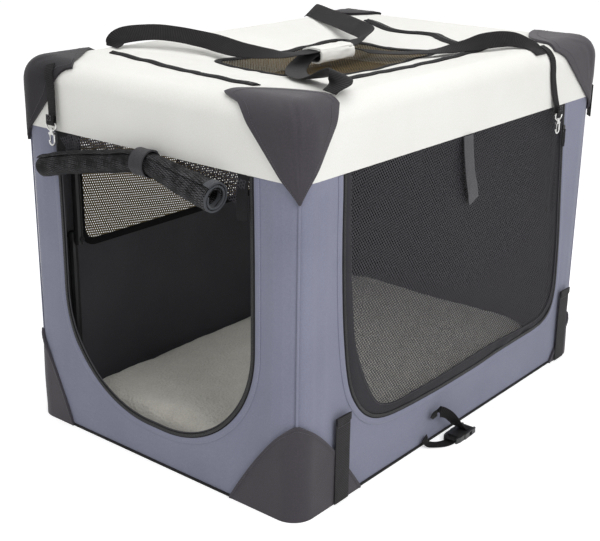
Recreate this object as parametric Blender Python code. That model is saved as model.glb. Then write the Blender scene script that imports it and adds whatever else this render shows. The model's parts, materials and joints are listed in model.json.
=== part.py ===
"""Folding soft dog crate: a steel-tube frame on kneed corner posts inside a sewn cloth cover.

Metres, +Z up. The origin is the middle of the crate's underside, the front doorway faces -Y
and the long side with the mesh door faces +X. The frame folds at the knees of its four posts:
each lower half leans in by an angle, each upper half leans back by twice that angle, so the
top frame comes straight down.
"""
import math

import bmesh
import bpy
from mathutils import Matrix, Vector

# Overall size of the sewn cover
LENGTH = 0.90
WIDTH = 0.61
HEIGHT = 0.65
EDGE_R = 0.035
CLOTH = 0.003
GAP = 0.0003
SKIRT_DROP = 0.11
ROOF_SAG = 0.034
ROOF_SAG_POWER = 2
ROOF_EDGE_TURNS = (0, 22.5, 45, 67.5, 82)

# Steel tube frame
TUBE_R = 0.008
TUBE_WALL = 0.0012
TUBE_SIDES = 10
BEND_R = 0.035
SPIGOT_LENGTH = 0.012
SPIGOT_CLEARANCE = 0.002
LANE_GAP = 0.0006

# Pivots of the posts
PIVOT_RISE = 0.0232
POST_INSET = 0.002
POST_END = 0.010
PIN_R = 0.003
PIN_CLEARANCE = 0.0003
PIN_HEAD_R = 0.0052
PIN_HEAD = 0.0016
EAR_T = 0.0025
EAR_R = 0.009
EAR_STANDOFF = 0.0005
FOOT_HALF = 0.011
FOOT_ROOT = 0.004
FOOT_RISE = 0.0007

# Floor
FLOOR_CLOTH = 0.0025
BOARD_T = 0.004
BOARD_CLEARANCE = 0.0008
MAT_T = 0.048
MAT_SIDE_CLEARANCE = 0.006
MAT_END_CLEARANCE = 0.004
MAT_CORNER_R = 0.05
MAT_EDGE = 0.016

# Front doorway, open up to the seam
DOORWAY_HALF = 0.214
DOORWAY_SILL = 0.070
DOORWAY_CORNER_R = 0.195

# Mesh door in the long right side, open up to the seam
SIDE_DOOR_FRONT = -0.345
SIDE_DOOR_REAR = 0.345
SIDE_DOOR_SILL = 0.100
SIDE_DOOR_FRONT_R = 0.130
SIDE_DOOR_REAR_R = 0.080

# Mesh window of the left wall
WINDOW_SILL = 0.295
WINDOW_HEAD_DROP = 0.020
WINDOW_HALF = 0.335
WINDOW_CORNER_R = 0.030

# Nets of the long sides, with a plain grid of openings for their fine mesh: (along, up)
NET_T = 0.0018
NET_EDGE = 0.010
NET_BAR = 0.016
SIDE_DOOR_GRID = (6, 4)
WINDOW_GRID = (6, 2)

# Mesh window of the roof
ROOF_WINDOW_HALF_X = 0.115
ROOF_WINDOW_HALF_Y = 0.180
ROOF_WINDOW_R = 0.020

# Corner patches
PATCH_T = 0.0016
PATCH_LIFT = 0.0034
# Each upper patch: its corner, the leg along the end's top edge, how far that tip lies in from the edge,
# and the leg along the side's top edge. They are drawn over the corners by hand, so they differ.
TOP_PATCHES = (("front_left", -1, -1, 0.115, 0.022, 0.118),
               ("front_right", 1, -1, 0.159, 0.018, 0.092),
               ("rear_left", -1, 1, 0.110, 0.018, 0.105),
               ("rear_right", 1, 1, 0.124, 0.030, 0.164))
PATCH_BULGE = 0.030
PATCH_DROP = 0.142
PATCH_STEPS = 11
# Each lower patch: its corner, the leg along the end wall, the leg along the side wall and its height
LOW_PATCHES = (("front_left", -1, -1, 0.092, 0.100, 0.165),
               ("front_right", 1, -1, 0.137, 0.160, 0.165),
               ("rear_left", -1, 1, 0.093, 0.093, 0.085),
               ("rear_right", 1, 1, 0.093, 0.093, 0.085))
LOW_PATCH_TOE = 0.004
LOW_PATCH_LIFT = 0.0005

# Webbing
WEB_T = 0.0018
HANDLE_WIDTH = 0.036
STRAP_WIDTH = 0.020
TAB_WIDTH = 0.036
TAB_RISE = 0.152
TIE_WIDTH = 0.028
TIE_DROP = 0.118
TIE_TUCK = 0.001
TIE_LEAN = 0.015
TAB_FRONT_INSET = 0.106
TAB_REAR_INSET = 0.058
STRAP_END_DROP = 0.090
STRAP_END_LENGTH = 0.062

# Rolled front door
ROLL_R = 0.0208
ROLL_WAIST_R = 0.0185
ROLL_MOUTH_R = 0.0258
ROLL_WALL = 0.010
ROLL_TIE_AT = 0.60
TIE_SLACK = 0.0003
ROLL_SIDES = 12

# Snap hooks on their straps
FRONT_HOOK_INSET = 0.093
FRONT_HOOK_HANG = 0.0955
SIDE_HOOK_INSET = 0.167
SIDE_HOOK_HANG = 0.1200
SIDE_HOOK_LEAN = 0.018
HOOK_STANDOFF = 0.0115
HOOK_ROD_R = 0.0017
HOOK_EYE_HALF = 0.0124
HOOK_EYE_HEIGHT = 0.0125
HOOK_BARREL_R = 0.0034
HOOK_BARREL_H = 0.0050
HOOK_BLOCK_H = 0.0036
HOOK_BLOCK_T = 0.0044
HOOK_HALF = 0.0062
HOOK_DROP = 0.0230
HOOK_TIP = 0.0020
HOOK_NECK = 0.0020
HOOK_GATE_R = 0.0016
HOOK_GATE_T = 0.0016
HOOK_GATE_W = 0.0012
HOOK_GATE_LAP = 0.0015
HOOK_GATE_SWING = 0.0011
GATE_PIN_R = 0.0007
SWIVEL_PIN_R = 0.0014
STRAP_KINK = 0.014
HOOK_STRAP_WIDTH = 0.018
HOOK_STRAP_LIFT = 0.0012
ROD_SIDES = 8

# Side release buckle on the folding strap
BUCKLE_STANDOFF = 0.031
BUCKLE_Y = 0.000
BUCKLE_HALF_WIDTH = 0.0165
BUCKLE_T = 0.0100
BUCKLE_SOCKET = 0.040
BUCKLE_PLUG = 0.022
BUCKLE_WALL = 0.0018
BUCKLE_MOUTH = 0.0095
BUCKLE_SLOT_HALF = 0.0106
BAR_R = 0.0018
BAR_INSET = 0.0005
STRAP_ROOT = 0.0048
# The straps' ways out from the wall: (share of the way out, distance from the buckle's end, height)
SOCKET_STRAP_ARCH = ((0.00, -0.085, 0.046), (0.24, -0.074, 0.057),
                     (0.62, -0.055, 0.047), (0.89, -0.036, 0.024))
SOCKET_STRAP_LANDING = 0.022
PLUG_STRAP_FALL = ((0.00, -0.046, 0.0160), (0.23, -0.040, 0.0045))
PRONG_W = 0.0042
PRONG_LENGTH = 0.023

# Grip wrap around both handles
GRIP_LENGTH = 0.095
GRIP_HALF_WIDTH = 0.024
GRIP_HALF_HEIGHT = 0.0143
GRIP_CORNER_R = 0.0110
GRIP_WALL = 0.0022
GRIP_LIFT = 0.0079
GRIP_HANDLE_DROP = 0.0034

# Zip sliders: the roof's x, distance from the front and lean of its zip, the side door's drop below the seam
ROOF_SLIDER_X = 0.135
ROOF_SLIDER_INSET = 0.095
ROOF_ZIP_LEAN = 0.157
SIDE_SLIDER_DROP = 0.040
SLIDER_LENGTH = 0.010
SLIDER_WIDTH = 0.0085
SLIDER_PULL = 0.022
SLIDER_T = 0.0030
SLIDER_NOSE = 0.0026
SLIDER_TAIL = 0.0030
SLIDER_PULL_HALF = 0.0019

# Places worked out from the sizes above
HALF_W = WIDTH / 2
HALF_L = LENGTH / 2
SEAM_Z = HEIGHT - SKIRT_DROP
WINDOW_HEAD = SEAM_Z - WINDOW_HEAD_DROP
BUCKLE_X = HALF_W + BUCKLE_STANDOFF
RAIL_INSET = EDGE_R - (EDGE_R - CLOTH - GAP - TUBE_R) * math.sqrt(0.5)
RAIL_X = HALF_W - RAIL_INSET
RAIL_Y = HALF_L - RAIL_INSET
LOW_RAIL_Z = FLOOR_CLOTH + GAP + TUBE_R
HIGH_RAIL_Z = HEIGHT - RAIL_INSET
BEND_STUB = SPIGOT_LENGTH + SPIGOT_CLEARANCE
LOW_PIVOT_Z = LOW_RAIL_Z + PIVOT_RISE
HIGH_PIVOT_Z = HIGH_RAIL_Z - PIVOT_RISE
KNEE_Z = (LOW_PIVOT_Z + HIGH_PIVOT_Z) / 2
HALF_POST = (HIGH_PIVOT_Z - LOW_PIVOT_Z) / 2
INNER_LANE_X = RAIL_X - 2 * TUBE_R - LANE_GAP
SIDE_RAIL_HALF = RAIL_Y - BEND_R - BEND_STUB - GAP
POST_Y = SIDE_RAIL_HALF - FOOT_HALF - POST_INSET
KNEE_HEAD_X = INNER_LANE_X - TUBE_R - EAR_STANDOFF - PIN_HEAD
MAT_HALF_X = KNEE_HEAD_X - MAT_SIDE_CLEARANCE
MAT_HALF_Y = RAIL_Y - TUBE_R - MAT_END_CLEARANCE
BOARD_Z = FLOOR_CLOTH + GAP
MAT_Z = BOARD_Z + BOARD_T + GAP

X_AXIS = Vector((1, 0, 0))
Y_AXIS = Vector((0, 1, 0))
Z_AXIS = Vector((0, 0, 1))

FINISHES = {
    "steel_tube": ((0.035, 0.035, 0.038), 0.35, 0.9),
    "grey_cloth": ((0.215, 0.230, 0.305), 0.85, 0.0),
    "cream_cloth": ((0.800, 0.800, 0.760), 0.85, 0.0),
    "black_cloth": ((0.040, 0.036, 0.042), 0.80, 0.0),
    "black_net": ((0.030, 0.029, 0.031), 0.75, 0.0),
    "webbing": ((0.030, 0.029, 0.031), 0.70, 0.0),
    "board": ((0.120, 0.110, 0.100), 0.80, 0.0),
    "fleece": ((0.560, 0.530, 0.440), 0.95, 0.0),
    "plastic": ((0.018, 0.018, 0.019), 0.40, 0.0),
    "nickel": ((0.620, 0.620, 0.610), 0.25, 1.0),
    "tie_tape": ((0.100, 0.103, 0.115), 0.80, 0.0),
}


# Mesh helpers

def clear_scene():
    for thing in list(bpy.data.objects):
        bpy.data.objects.remove(thing, do_unlink=True)


def material_for(name, finish):
    colour, roughness, metallic = FINISHES[finish]
    made = bpy.data.materials.new(name + "_material")
    made.use_nodes = True
    shader = made.node_tree.nodes["Principled BSDF"]
    shader.inputs["Base Color"].default_value = (*colour, 1)
    shader.inputs["Roughness"].default_value = roughness
    shader.inputs["Metallic"].default_value = metallic
    return made


def add_object(name, bm, finish=None, origin=(0, 0, 0)):
    """Links a mesh, drawn in the crate's own frame, as an object whose origin is at origin."""
    bmesh.ops.recalc_face_normals(bm, faces=bm.faces)
    bm.transform(Matrix.Translation(-Vector(origin)))
    mesh = bpy.data.meshes.new(name)
    bm.to_mesh(mesh)
    bm.free()
    mesh.shade_smooth()
    mesh.set_sharp_from_angle(angle=math.radians(40))
    made = bpy.data.objects.new(name, mesh)
    made.location = origin
    bpy.context.scene.collection.objects.link(made)
    if finish:
        mesh.materials.append(material_for(name, finish))
    else:
        made.hide_render = True
        made.display_type = "WIRE"
    return made


def boolean(target, tool, operation):
    step = target.modifiers.new(tool.name, "BOOLEAN")
    step.operation = operation
    step.solver = "EXACT"
    step.object = tool


def loft(rings, closed=False):
    """Skins rings of equal point counts. A closed loft joins the last ring to the first."""
    bm = bmesh.new()
    rows = [[bm.verts.new(point) for point in ring] for ring in rings]
    pairs = list(zip(rows, rows[1:]))
    if closed:
        pairs.append((rows[-1], rows[0]))
    for low, high in pairs:
        for i in range(len(low)):
            j = (i + 1) % len(low)
            bm.faces.new((low[i], low[j], high[j], high[i]))
    if not closed:
        bm.faces.new(list(reversed(rows[0])))
        bm.faces.new(rows[-1])
    return bm


def circle(radius, sides):
    step = 2 * math.pi / sides
    return [(radius * math.cos(step * (i + 0.5)), radius * math.sin(step * (i + 0.5))) for i in range(sides)]


def turned(centre, axis, profile, sides):
    """Turns a closed (distance along, radius) profile round an axis through centre."""
    axis = Vector(axis).normalized()
    side = axis.orthogonal().normalized()
    other = axis.cross(side)
    rings = []
    for along, radius in profile:
        base = Vector(centre) + axis * along
        rings.append([base + side * a + other * b for a, b in circle(radius, sides)])
    return loft(rings, closed=True)


def rod(start, end, radius, sides=12):
    """A solid round bar between two points."""
    start, end = Vector(start), Vector(end)
    axis = (end - start).normalized()
    side = axis.orthogonal().normalized()
    other = axis.cross(side)
    rings = [[p + side * a + other * b for a, b in circle(radius, sides)] for p in (start, end)]
    return loft(rings)


def box(low, high):
    bm = bmesh.new()
    bmesh.ops.create_cube(bm, size=1)
    low, high = Vector(low), Vector(high)
    for vert in bm.verts:
        vert.co = Vector(low[i] + (vert.co[i] + 0.5) * (high[i] - low[i]) for i in range(3))
    return bm


def arc_points(centre, radius, start, end, steps):
    """Points on an arc, angles in degrees, both ends included."""
    points = []
    for i in range(steps + 1):
        angle = math.radians(start + (end - start) * i / steps)
        points.append((centre[0] + radius * math.cos(angle), centre[1] + radius * math.sin(angle)))
    return points


def smooth_route(points, steps):
    """A Catmull-Rom curve through the points, with steps pieces between neighbours."""
    points = [Vector(p) for p in points]
    ends = [2 * points[0] - points[1]] + points + [2 * points[-1] - points[-2]]
    route = []
    for a, b, c, d in zip(ends, ends[1:], ends[2:], ends[3:]):
        for i in range(steps):
            t = i / steps
            route.append(0.5 * (2 * b + (c - a) * t + (2 * a - 5 * b + 4 * c - d) * t ** 2
                                + (3 * b - a - 3 * c + d) * t ** 3))
    return route + [points[-1]]


def tangents(route):
    found = []
    for i in range(len(route)):
        ahead = route[min(i + 1, len(route) - 1)]
        behind = route[max(i - 1, 0)]
        found.append((ahead - behind).normalized())
    return found


def webbing(route, width, thickness, across, settled=None):
    """A flat strap along a route. across gives its width direction at the start and at the end.

    settled is the point of the route from which the strap keeps its last direction.
    """
    first, last = Vector(across[0]).normalized(), Vector(across[-1]).normalized()
    settled = settled or len(route) - 1
    rings = []
    for i, (point, along) in enumerate(zip(route, tangents(route))):
        wide = first.lerp(last, min(i / settled, 1))
        wide = (wide - along * wide.dot(along)).normalized()
        thick = along.cross(wide)
        rings.append([point + wide * (a * width / 2) + thick * (b * thickness / 2)
                      for a, b in ((-1, -1), (1, -1), (1, 1), (-1, 1))])
    return loft(rings)


def round_route(route, radii, sides):
    """Rings of a round section along a route, held upright by +Z or +X."""
    rings = []
    for point, along, radius in zip(route, tangents(route), radii):
        up = Z_AXIS if abs(along.z) < 0.9 else X_AXIS
        side = along.cross(up).normalized()
        other = side.cross(along)
        rings.append([point + side * a + other * b for a, b in circle(radius, sides)])
    return rings


# Outline helpers

def rounded_rectangle(half_x, half_y, radius, arc_steps, straight_steps):
    """Loop of (x, y) points with the same count for every size."""
    corners = ((1, 1, 0), (-1, 1, 90), (-1, -1, 180), (1, -1, 270))
    arcs = [arc_points((sx * (half_x - radius), sy * (half_y - radius)), radius, start, start + 90, arc_steps)
            for sx, sy, start in corners]
    loop = []
    for i, arc in enumerate(arcs):
        loop += arc
        a, b = arc[-1], arcs[(i + 1) % 4][0]
        for k in range(1, straight_steps):
            t = k / straight_steps
            loop.append((a[0] + (b[0] - a[0]) * t, a[1] + (b[1] - a[1]) * t))
    return loop


def doorway_outline(low, high, sill, low_r, high_r, top, grow=0.0):
    """A U-shaped doorway in a wall's plane: (along the wall, height), open at the top edge."""
    low, high, sill = low - grow, high + grow, sill - grow
    low_r, high_r = low_r + grow, high_r + grow
    outline = [(high, top), (low, top)]
    outline += arc_points((low + low_r, sill + low_r), low_r, 180, 270, 10)
    outline += arc_points((high - high_r, sill + high_r), high_r, 270, 360, 10)
    return outline


def window_outline(half, sill, head, radius, grow=0.0):
    middle = (sill + head) / 2
    loop = rounded_rectangle(half + grow, (head - sill) / 2 + grow, radius + grow, 5, 1)
    return [(along, middle + up) for along, up in loop]


def sag(x, y):
    """How far the roof cloth hangs below its edges."""
    share = max(0.0, 1 - (x / HALF_W) ** 2) * max(0.0, 1 - (y / HALF_L) ** 2)
    return ROOF_SAG * share ** ROOF_SAG_POWER


def side_slab(outline, near_x, far_x):
    """A flat piece in a long side's plane."""
    return loft([[Vector((x, along, up)) for along, up in outline] for x in (near_x, far_x)])


def end_slab(outline, near_y, far_y):
    """A flat piece in the front or rear wall's plane."""
    return loft([[Vector((along, y, up)) for along, up in outline] for y in (near_y, far_y)])


# Frame

def elbow_rail(name, z, end):
    """The short rail of one end with its two bent elbows."""
    centre_y = RAIL_Y - BEND_R
    reach = centre_y - BEND_STUB
    plan = [(RAIL_X, reach)]
    plan += arc_points((RAIL_X - BEND_R, centre_y), BEND_R, 0, 90, 4)
    plan += arc_points((-RAIL_X + BEND_R, centre_y), BEND_R, 90, 180, 4)
    plan += [(-RAIL_X, reach)]
    route = [Vector((x, y * end, z)) for x, y in plan]
    outer = round_route(route, [TUBE_R] * len(route), TUBE_SIDES)
    inner = round_route(route, [TUBE_R - TUBE_WALL] * len(route), TUBE_SIDES)
    return add_object(name, loft(outer + inner[::-1], closed=True), "steel_tube")


def spigot_profile():
    """Half section of a side rail: full tube, with a thinner spigot at each end."""
    bore = TUBE_R - TUBE_WALL
    spigot = bore - GAP
    tip = SIDE_RAIL_HALF + SPIGOT_LENGTH
    outer = [(-tip, spigot), (-SIDE_RAIL_HALF, spigot), (-SIDE_RAIL_HALF, TUBE_R)]
    outer += [(-s, r) for s, r in reversed(outer)]
    inner = [(tip, spigot - TUBE_WALL), (-tip, spigot - TUBE_WALL)]
    return outer + inner


def ear_solid(x_near, x_far, pivot_y, pivot_z, foot_z):
    """A pivot ear: a plate with a round end at the pivot and its foot at foot_z."""
    reach = abs(pivot_z - foot_z)
    up = 1 if pivot_z > foot_z else -1
    outline = [(pivot_y + EAR_R, foot_z), (pivot_y + EAR_R, foot_z + up * reach)]
    outline += [(y, pivot_z + up * rise)
                for y, rise in arc_points((pivot_y, 0), EAR_R, 20, 160, 7)]
    outline += [(pivot_y - EAR_R, foot_z + up * reach), (pivot_y - EAR_R, foot_z)]
    return side_slab(outline, x_near, x_far)


def side_rail(name, side, low):
    """A long rail with an ear and a pivot pin near each end. side is -1 for left, 1 for right."""
    rail_z = LOW_RAIL_Z if low else HIGH_RAIL_Z
    pivot_z = LOW_PIVOT_Z if low else HIGH_PIVOT_Z
    up = 1 if low else -1
    tube = turned((side * RAIL_X, 0, rail_z), Y_AXIS, spigot_profile(), TUBE_SIDES)
    rail = add_object(name, tube, "steel_tube")
    lane = RAIL_X if low else INNER_LANE_X
    outward = side if low else -side
    near = side * lane + outward * (TUBE_R + EAR_STANDOFF)
    far = near + outward * EAR_T
    foot_low = rail_z + up * (TUBE_R + FOOT_RISE)
    foot_high = rail_z + up * (TUBE_R - FOOT_ROOT)
    foot_root = side * RAIL_X - outward * FOOT_ROOT
    pin_end = side * lane - outward * (TUBE_R - LANE_GAP)
    for end in (-1, 1):
        pivot_y = end * POST_Y
        tools = {
            "foot": box((min(foot_root, far), pivot_y - FOOT_HALF, min(foot_low, foot_high)),
                        (max(foot_root, far), pivot_y + FOOT_HALF, max(foot_low, foot_high))),
            "ear": ear_solid(near, far, pivot_y, pivot_z, foot_high),
            "pin": rod((far - outward * EAR_T / 2, pivot_y, pivot_z), (pin_end, pivot_y, pivot_z), PIN_R),
        }
        for label, shape in tools.items():
            boolean(rail, add_object(f"{name}_{label}_{end}", shape), "UNION")
    return rail


def post_tube(name, x, y, low_z, high_z, origin_z):
    profile = [(low_z - POST_END, TUBE_R), (high_z + POST_END, TUBE_R),
               (high_z + POST_END, TUBE_R - TUBE_WALL), (low_z - POST_END, TUBE_R - TUBE_WALL)]
    bm = turned((x, y, 0), Z_AXIS, profile, TUBE_SIDES)
    return add_object(name, bm, "steel_tube", (x, y, origin_z))


def pin_hole(post, x, y, z):
    reach = TUBE_R + LANE_GAP
    tool = rod((x - reach, y, z), (x + reach, y, z), PIN_R + PIN_CLEARANCE)
    boolean(post, add_object(f"{post.name}_hole_{round(z * 1000)}", tool), "DIFFERENCE")


def post_pair(corner, side, end):
    """Lower and upper half of one corner post, which fold side by side."""
    y = end * POST_Y
    outer_x, inner_x = side * RAIL_X, side * INNER_LANE_X
    lower = post_tube(f"lower_post_{corner}", outer_x, y, LOW_PIVOT_Z, KNEE_Z, LOW_PIVOT_Z)
    pin_hole(lower, outer_x, y, LOW_PIVOT_Z)
    outside = outer_x + side * TUBE_R
    inside = side * (KNEE_HEAD_X + PIN_HEAD)
    head = side * PIN_HEAD
    pin = {
        "pin": (outside + head / 2, inside - head / 2, PIN_R),
        "outer_head": (outside - head, outside + head, PIN_HEAD_R),
        "inner_head": (inside, inside - head, PIN_HEAD_R),
    }
    for label, (start_x, end_x, radius) in pin.items():
        shape = rod((start_x, y, KNEE_Z), (end_x, y, KNEE_Z), radius)
        boolean(lower, add_object(f"{lower.name}_{label}", shape), "UNION")
    upper = post_tube(f"upper_post_{corner}", inner_x, y, KNEE_Z, HIGH_PIVOT_Z, KNEE_Z)
    pin_hole(upper, inner_x, y, KNEE_Z)
    pin_hole(upper, inner_x, y, HIGH_PIVOT_Z)


def build_frame():
    elbow_rail("base_front_rail", LOW_RAIL_Z, -1)
    elbow_rail("base_rear_rail", LOW_RAIL_Z, 1)
    side_rail("base_left_rail", -1, low=True)
    side_rail("base_right_rail", 1, low=True)
    elbow_rail("top_front_rail", HIGH_RAIL_Z, -1)
    elbow_rail("top_rear_rail", HIGH_RAIL_Z, 1)
    side_rail("top_left_rail", -1, low=False)
    side_rail("top_right_rail", 1, low=False)
    for corner, side, end in (("front_left", -1, -1), ("front_right", 1, -1),
                              ("rear_left", -1, 1), ("rear_right", 1, 1)):
        post_pair(corner, side, end)


# Cover walls

def wall_plan(turns, inset):
    """Plan line of one wall from the middle of one rounded corner to the next, at a depth of inset.

    turns is the number of quarter turns from the front wall.
    """
    along = (HALF_W, HALF_L)[turns % 2]
    out = (HALF_L, HALF_W)[turns % 2]
    radius = EDGE_R - inset
    trim = math.degrees(GAP / EDGE_R)
    centre = (along - EDGE_R, EDGE_R - out)
    right = arc_points(centre, radius, -90, -45 - trim, 4)
    left = [(-x, y) for x, y in reversed(right)]
    quarter = Matrix.Rotation(turns * math.pi / 2, 2)
    return [quarter @ Vector(point) for point in left + right]


def wall(name, turns, opening=None):
    outer = wall_plan(turns, 0)
    inner = wall_plan(turns, CLOTH)
    plan = outer + inner[::-1]
    top = SEAM_Z - GAP
    bm = loft([[Vector((p.x, p.y, z)) for p in plan] for z in (0, top)])
    panel = add_object(name, bm, "grey_cloth")
    if opening:
        boolean(panel, opening, "DIFFERENCE")
    return panel


def build_walls():
    above = SEAM_Z + CLOTH
    through = 4 * CLOTH
    doorway = doorway_outline(-DOORWAY_HALF, DOORWAY_HALF, DOORWAY_SILL,
                              DOORWAY_CORNER_R, DOORWAY_CORNER_R, above)
    wall("front_wall", 0, add_object("doorway_cut", end_slab(doorway, -HALF_L - through, -HALF_L + through)))
    opening = doorway_outline(SIDE_DOOR_FRONT, SIDE_DOOR_REAR, SIDE_DOOR_SILL,
                              SIDE_DOOR_FRONT_R, SIDE_DOOR_REAR_R, above)
    wall("right_wall", 1, add_object("side_door_cut", side_slab(opening, HALF_W - through, HALF_W + through)))
    wall("rear_wall", 2)
    left = window_outline(WINDOW_HALF, WINDOW_SILL, WINDOW_HEAD, WINDOW_CORNER_R)
    wall("left_wall", 3, add_object("left_window_cut", side_slab(left, -HALF_W - through, -HALF_W + through)))


def side_net(name, outline, field, near_x, grid):
    """A net in a long side's plane, with a grid of openings that stay inside the field outline."""
    net = add_object(name, side_slab(outline, near_x, near_x + NET_T), "black_net")
    low, high = [min(axis) for axis in zip(*field)], [max(axis) for axis in zip(*field)]
    pitch = [(high[k] - low[k] + NET_BAR) / grid[k] for k in (0, 1)]
    bm = bmesh.new()
    for column in range(grid[0]):
        for row in range(grid[1]):
            middle = Vector((near_x + NET_T / 2, low[0] + pitch[0] * (column + 0.5) - NET_BAR / 2,
                             low[1] + pitch[1] * (row + 0.5) - NET_BAR / 2))
            size = Matrix.Diagonal((4 * NET_T, pitch[0] - NET_BAR, pitch[1] - NET_BAR, 1))
            bmesh.ops.create_cube(bm, size=1, matrix=Matrix.Translation(middle) @ size)
    cells = add_object(name + "_cells", bm)
    inside = add_object(name + "_field", side_slab(field, near_x - NET_T, near_x + 2 * NET_T))
    boolean(cells, inside, "INTERSECT")
    boolean(net, cells, "DIFFERENCE")


def build_nets():
    """Mesh door and window, each set into the middle of its wall's thickness."""
    inset = (CLOTH - NET_T) / 2
    door = [doorway_outline(SIDE_DOOR_FRONT, SIDE_DOOR_REAR, SIDE_DOOR_SILL, SIDE_DOOR_FRONT_R,
                            SIDE_DOOR_REAR_R, SEAM_Z - edge, -edge) for edge in (GAP, NET_EDGE)]
    side_net("side_door_net", door[0], door[1], HALF_W - inset - NET_T, SIDE_DOOR_GRID)
    left = [window_outline(WINDOW_HALF, WINDOW_SILL, WINDOW_HEAD, WINDOW_CORNER_R, -edge)
            for edge in (GAP, NET_EDGE)]
    side_net("left_window_net", left[0], left[1], inset - HALF_W, WINDOW_GRID)


# Roof

def roof_ring(share, depth):
    """Loop on the roof between its rounded edge, at share 0, and the window, at share 1."""
    last_angle = math.radians(ROOF_EDGE_TURNS[-1])
    inset = EDGE_R - (EDGE_R - depth) * math.cos(last_angle)
    edge = rounded_rectangle(HALF_W - inset, HALF_L - inset, (EDGE_R - depth) * math.cos(last_angle), 4, 4)
    hole = rounded_rectangle(ROOF_WINDOW_HALF_X, ROOF_WINDOW_HALF_Y, ROOF_WINDOW_R, 4, 4)
    drop = (EDGE_R - depth) * (1 - math.sin(last_angle)) * (1 - share)
    ring = []
    for (ax, ay), (bx, by) in zip(edge, hole):
        x, y = ax + (bx - ax) * share, ay + (by - ay) * share
        ring.append(Vector((x, y, HEIGHT - depth - drop - sag(x, y))))
    return ring


def skirt_ring(angle, depth):
    """Loop on the rounded top edge: angle 0 is the upright skirt, 90 degrees the flat roof."""
    turn = math.radians(angle)
    radius = (EDGE_R - depth) * math.cos(turn)
    inset = EDGE_R - radius
    z = HEIGHT - EDGE_R + (EDGE_R - depth) * math.sin(turn)
    loop = rounded_rectangle(HALF_W - inset, HALF_L - inset, radius, 4, 4)
    return [Vector((x, y, z)) for x, y in loop]


def roof_skin(depth):
    hem = [Vector((p.x, p.y, SEAM_Z)) for p in skirt_ring(0, depth)]
    rings = [hem] + [skirt_ring(angle, depth) for angle in ROOF_EDGE_TURNS[:-1]]
    return rings + [roof_ring(share, depth) for share in (0, 0.2, 0.45, 0.7, 1)]


def build_roof():
    outer, inner = roof_skin(0), roof_skin(CLOTH)
    add_object("roof_cover", loft(outer + inner[::-1], closed=True), "cream_cloth")
    upper, lower = [], []
    sink = (CLOTH - NET_T) / 2
    for share in (0.08, 0.4, 0.75, 1.0):
        half_x = (ROOF_WINDOW_HALF_X - GAP) * share
        half_y = (ROOF_WINDOW_HALF_Y - GAP) * share
        loop = rounded_rectangle(half_x, half_y, ROOF_WINDOW_R * share, 2, 4)
        upper.append([Vector((x, y, HEIGHT - sink - sag(x, y))) for x, y in loop])
        lower.append([Vector((x, y, HEIGHT - sink - NET_T - sag(x, y))) for x, y in loop])
    add_object("roof_window_net", loft(upper + lower[::-1]), "black_net")


# Corner patches

def on_cover(point, lift):
    """The nearest point of the cover's outer face, lifted off it by lift."""
    core = Vector((max(-HALF_W + EDGE_R, min(HALF_W - EDGE_R, point.x)),
                   max(-HALF_L + EDGE_R, min(HALF_L - EDGE_R, point.y)),
                   max(EDGE_R, min(HEIGHT - EDGE_R, point.z))))
    out = (point - core).normalized()
    found = core + out * (EDGE_R + lift)
    found.z -= sag(found.x, found.y) * max(0.0, out.z)
    return found


def cast_to_box(point, out):
    """Pushes a point along out until it meets the crate's sharp-edged box."""
    reach = [(HALF_W - abs(point.x)) / abs(out.x), (HALF_L - abs(point.y)) / abs(out.y),
             (HEIGHT - point.z) / out.z]
    return point + out * min(reach)


def top_patch(name, side, end, end_leg, end_inset, side_leg):
    """A three-cornered patch drawn over one upper corner of the cover."""
    corner = Vector((side * HALF_W, end * HALF_L, HEIGHT))
    along_end = corner - X_AXIS * side * end_leg - Y_AXIS * end * end_inset
    along_side = corner - Y_AXIS * end * side_leg
    down = corner - Z_AXIS * PATCH_DROP
    out = Vector((side, end, 1)).normalized()
    bulge = Vector((-side, -end, 0)).normalized() * PATCH_BULGE
    skins = []
    for lift in (PATCH_LIFT, PATCH_LIFT + PATCH_T):
        skin = {}
        for i in range(PATCH_STEPS + 1):
            for j in range(PATCH_STEPS + 1 - i):
                a, b = i / PATCH_STEPS, j / PATCH_STEPS
                flat = along_end * a + along_side * b + down * (1 - a - b) + bulge * 4 * a * b
                skin[i, j] = on_cover(cast_to_box(flat, out), lift)
        skins.append(skin)
    add_object(name, grid_shell(skins, PATCH_STEPS), "black_cloth")


def grid_shell(skins, steps):
    """Closes two matching three-cornered grids into one thin solid."""
    bm = bmesh.new()
    inner, outer = ({key: bm.verts.new(co) for key, co in skin.items()} for skin in skins)
    for skin in (inner, outer):
        for i in range(steps):
            for j in range(steps - i):
                bm.faces.new((skin[i, j], skin[i + 1, j], skin[i, j + 1]))
                if i + j < steps - 1:
                    bm.faces.new((skin[i + 1, j], skin[i + 1, j + 1], skin[i, j + 1]))
    rim = [(k, 0) for k in range(steps)]
    rim += [(steps - k, k) for k in range(steps)]
    rim += [(0, steps - k) for k in range(steps)]
    for a, b in zip(rim, rim[1:] + rim[:1]):
        bm.faces.new((inner[a], inner[b], outer[b], outer[a]))
    return bm


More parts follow.
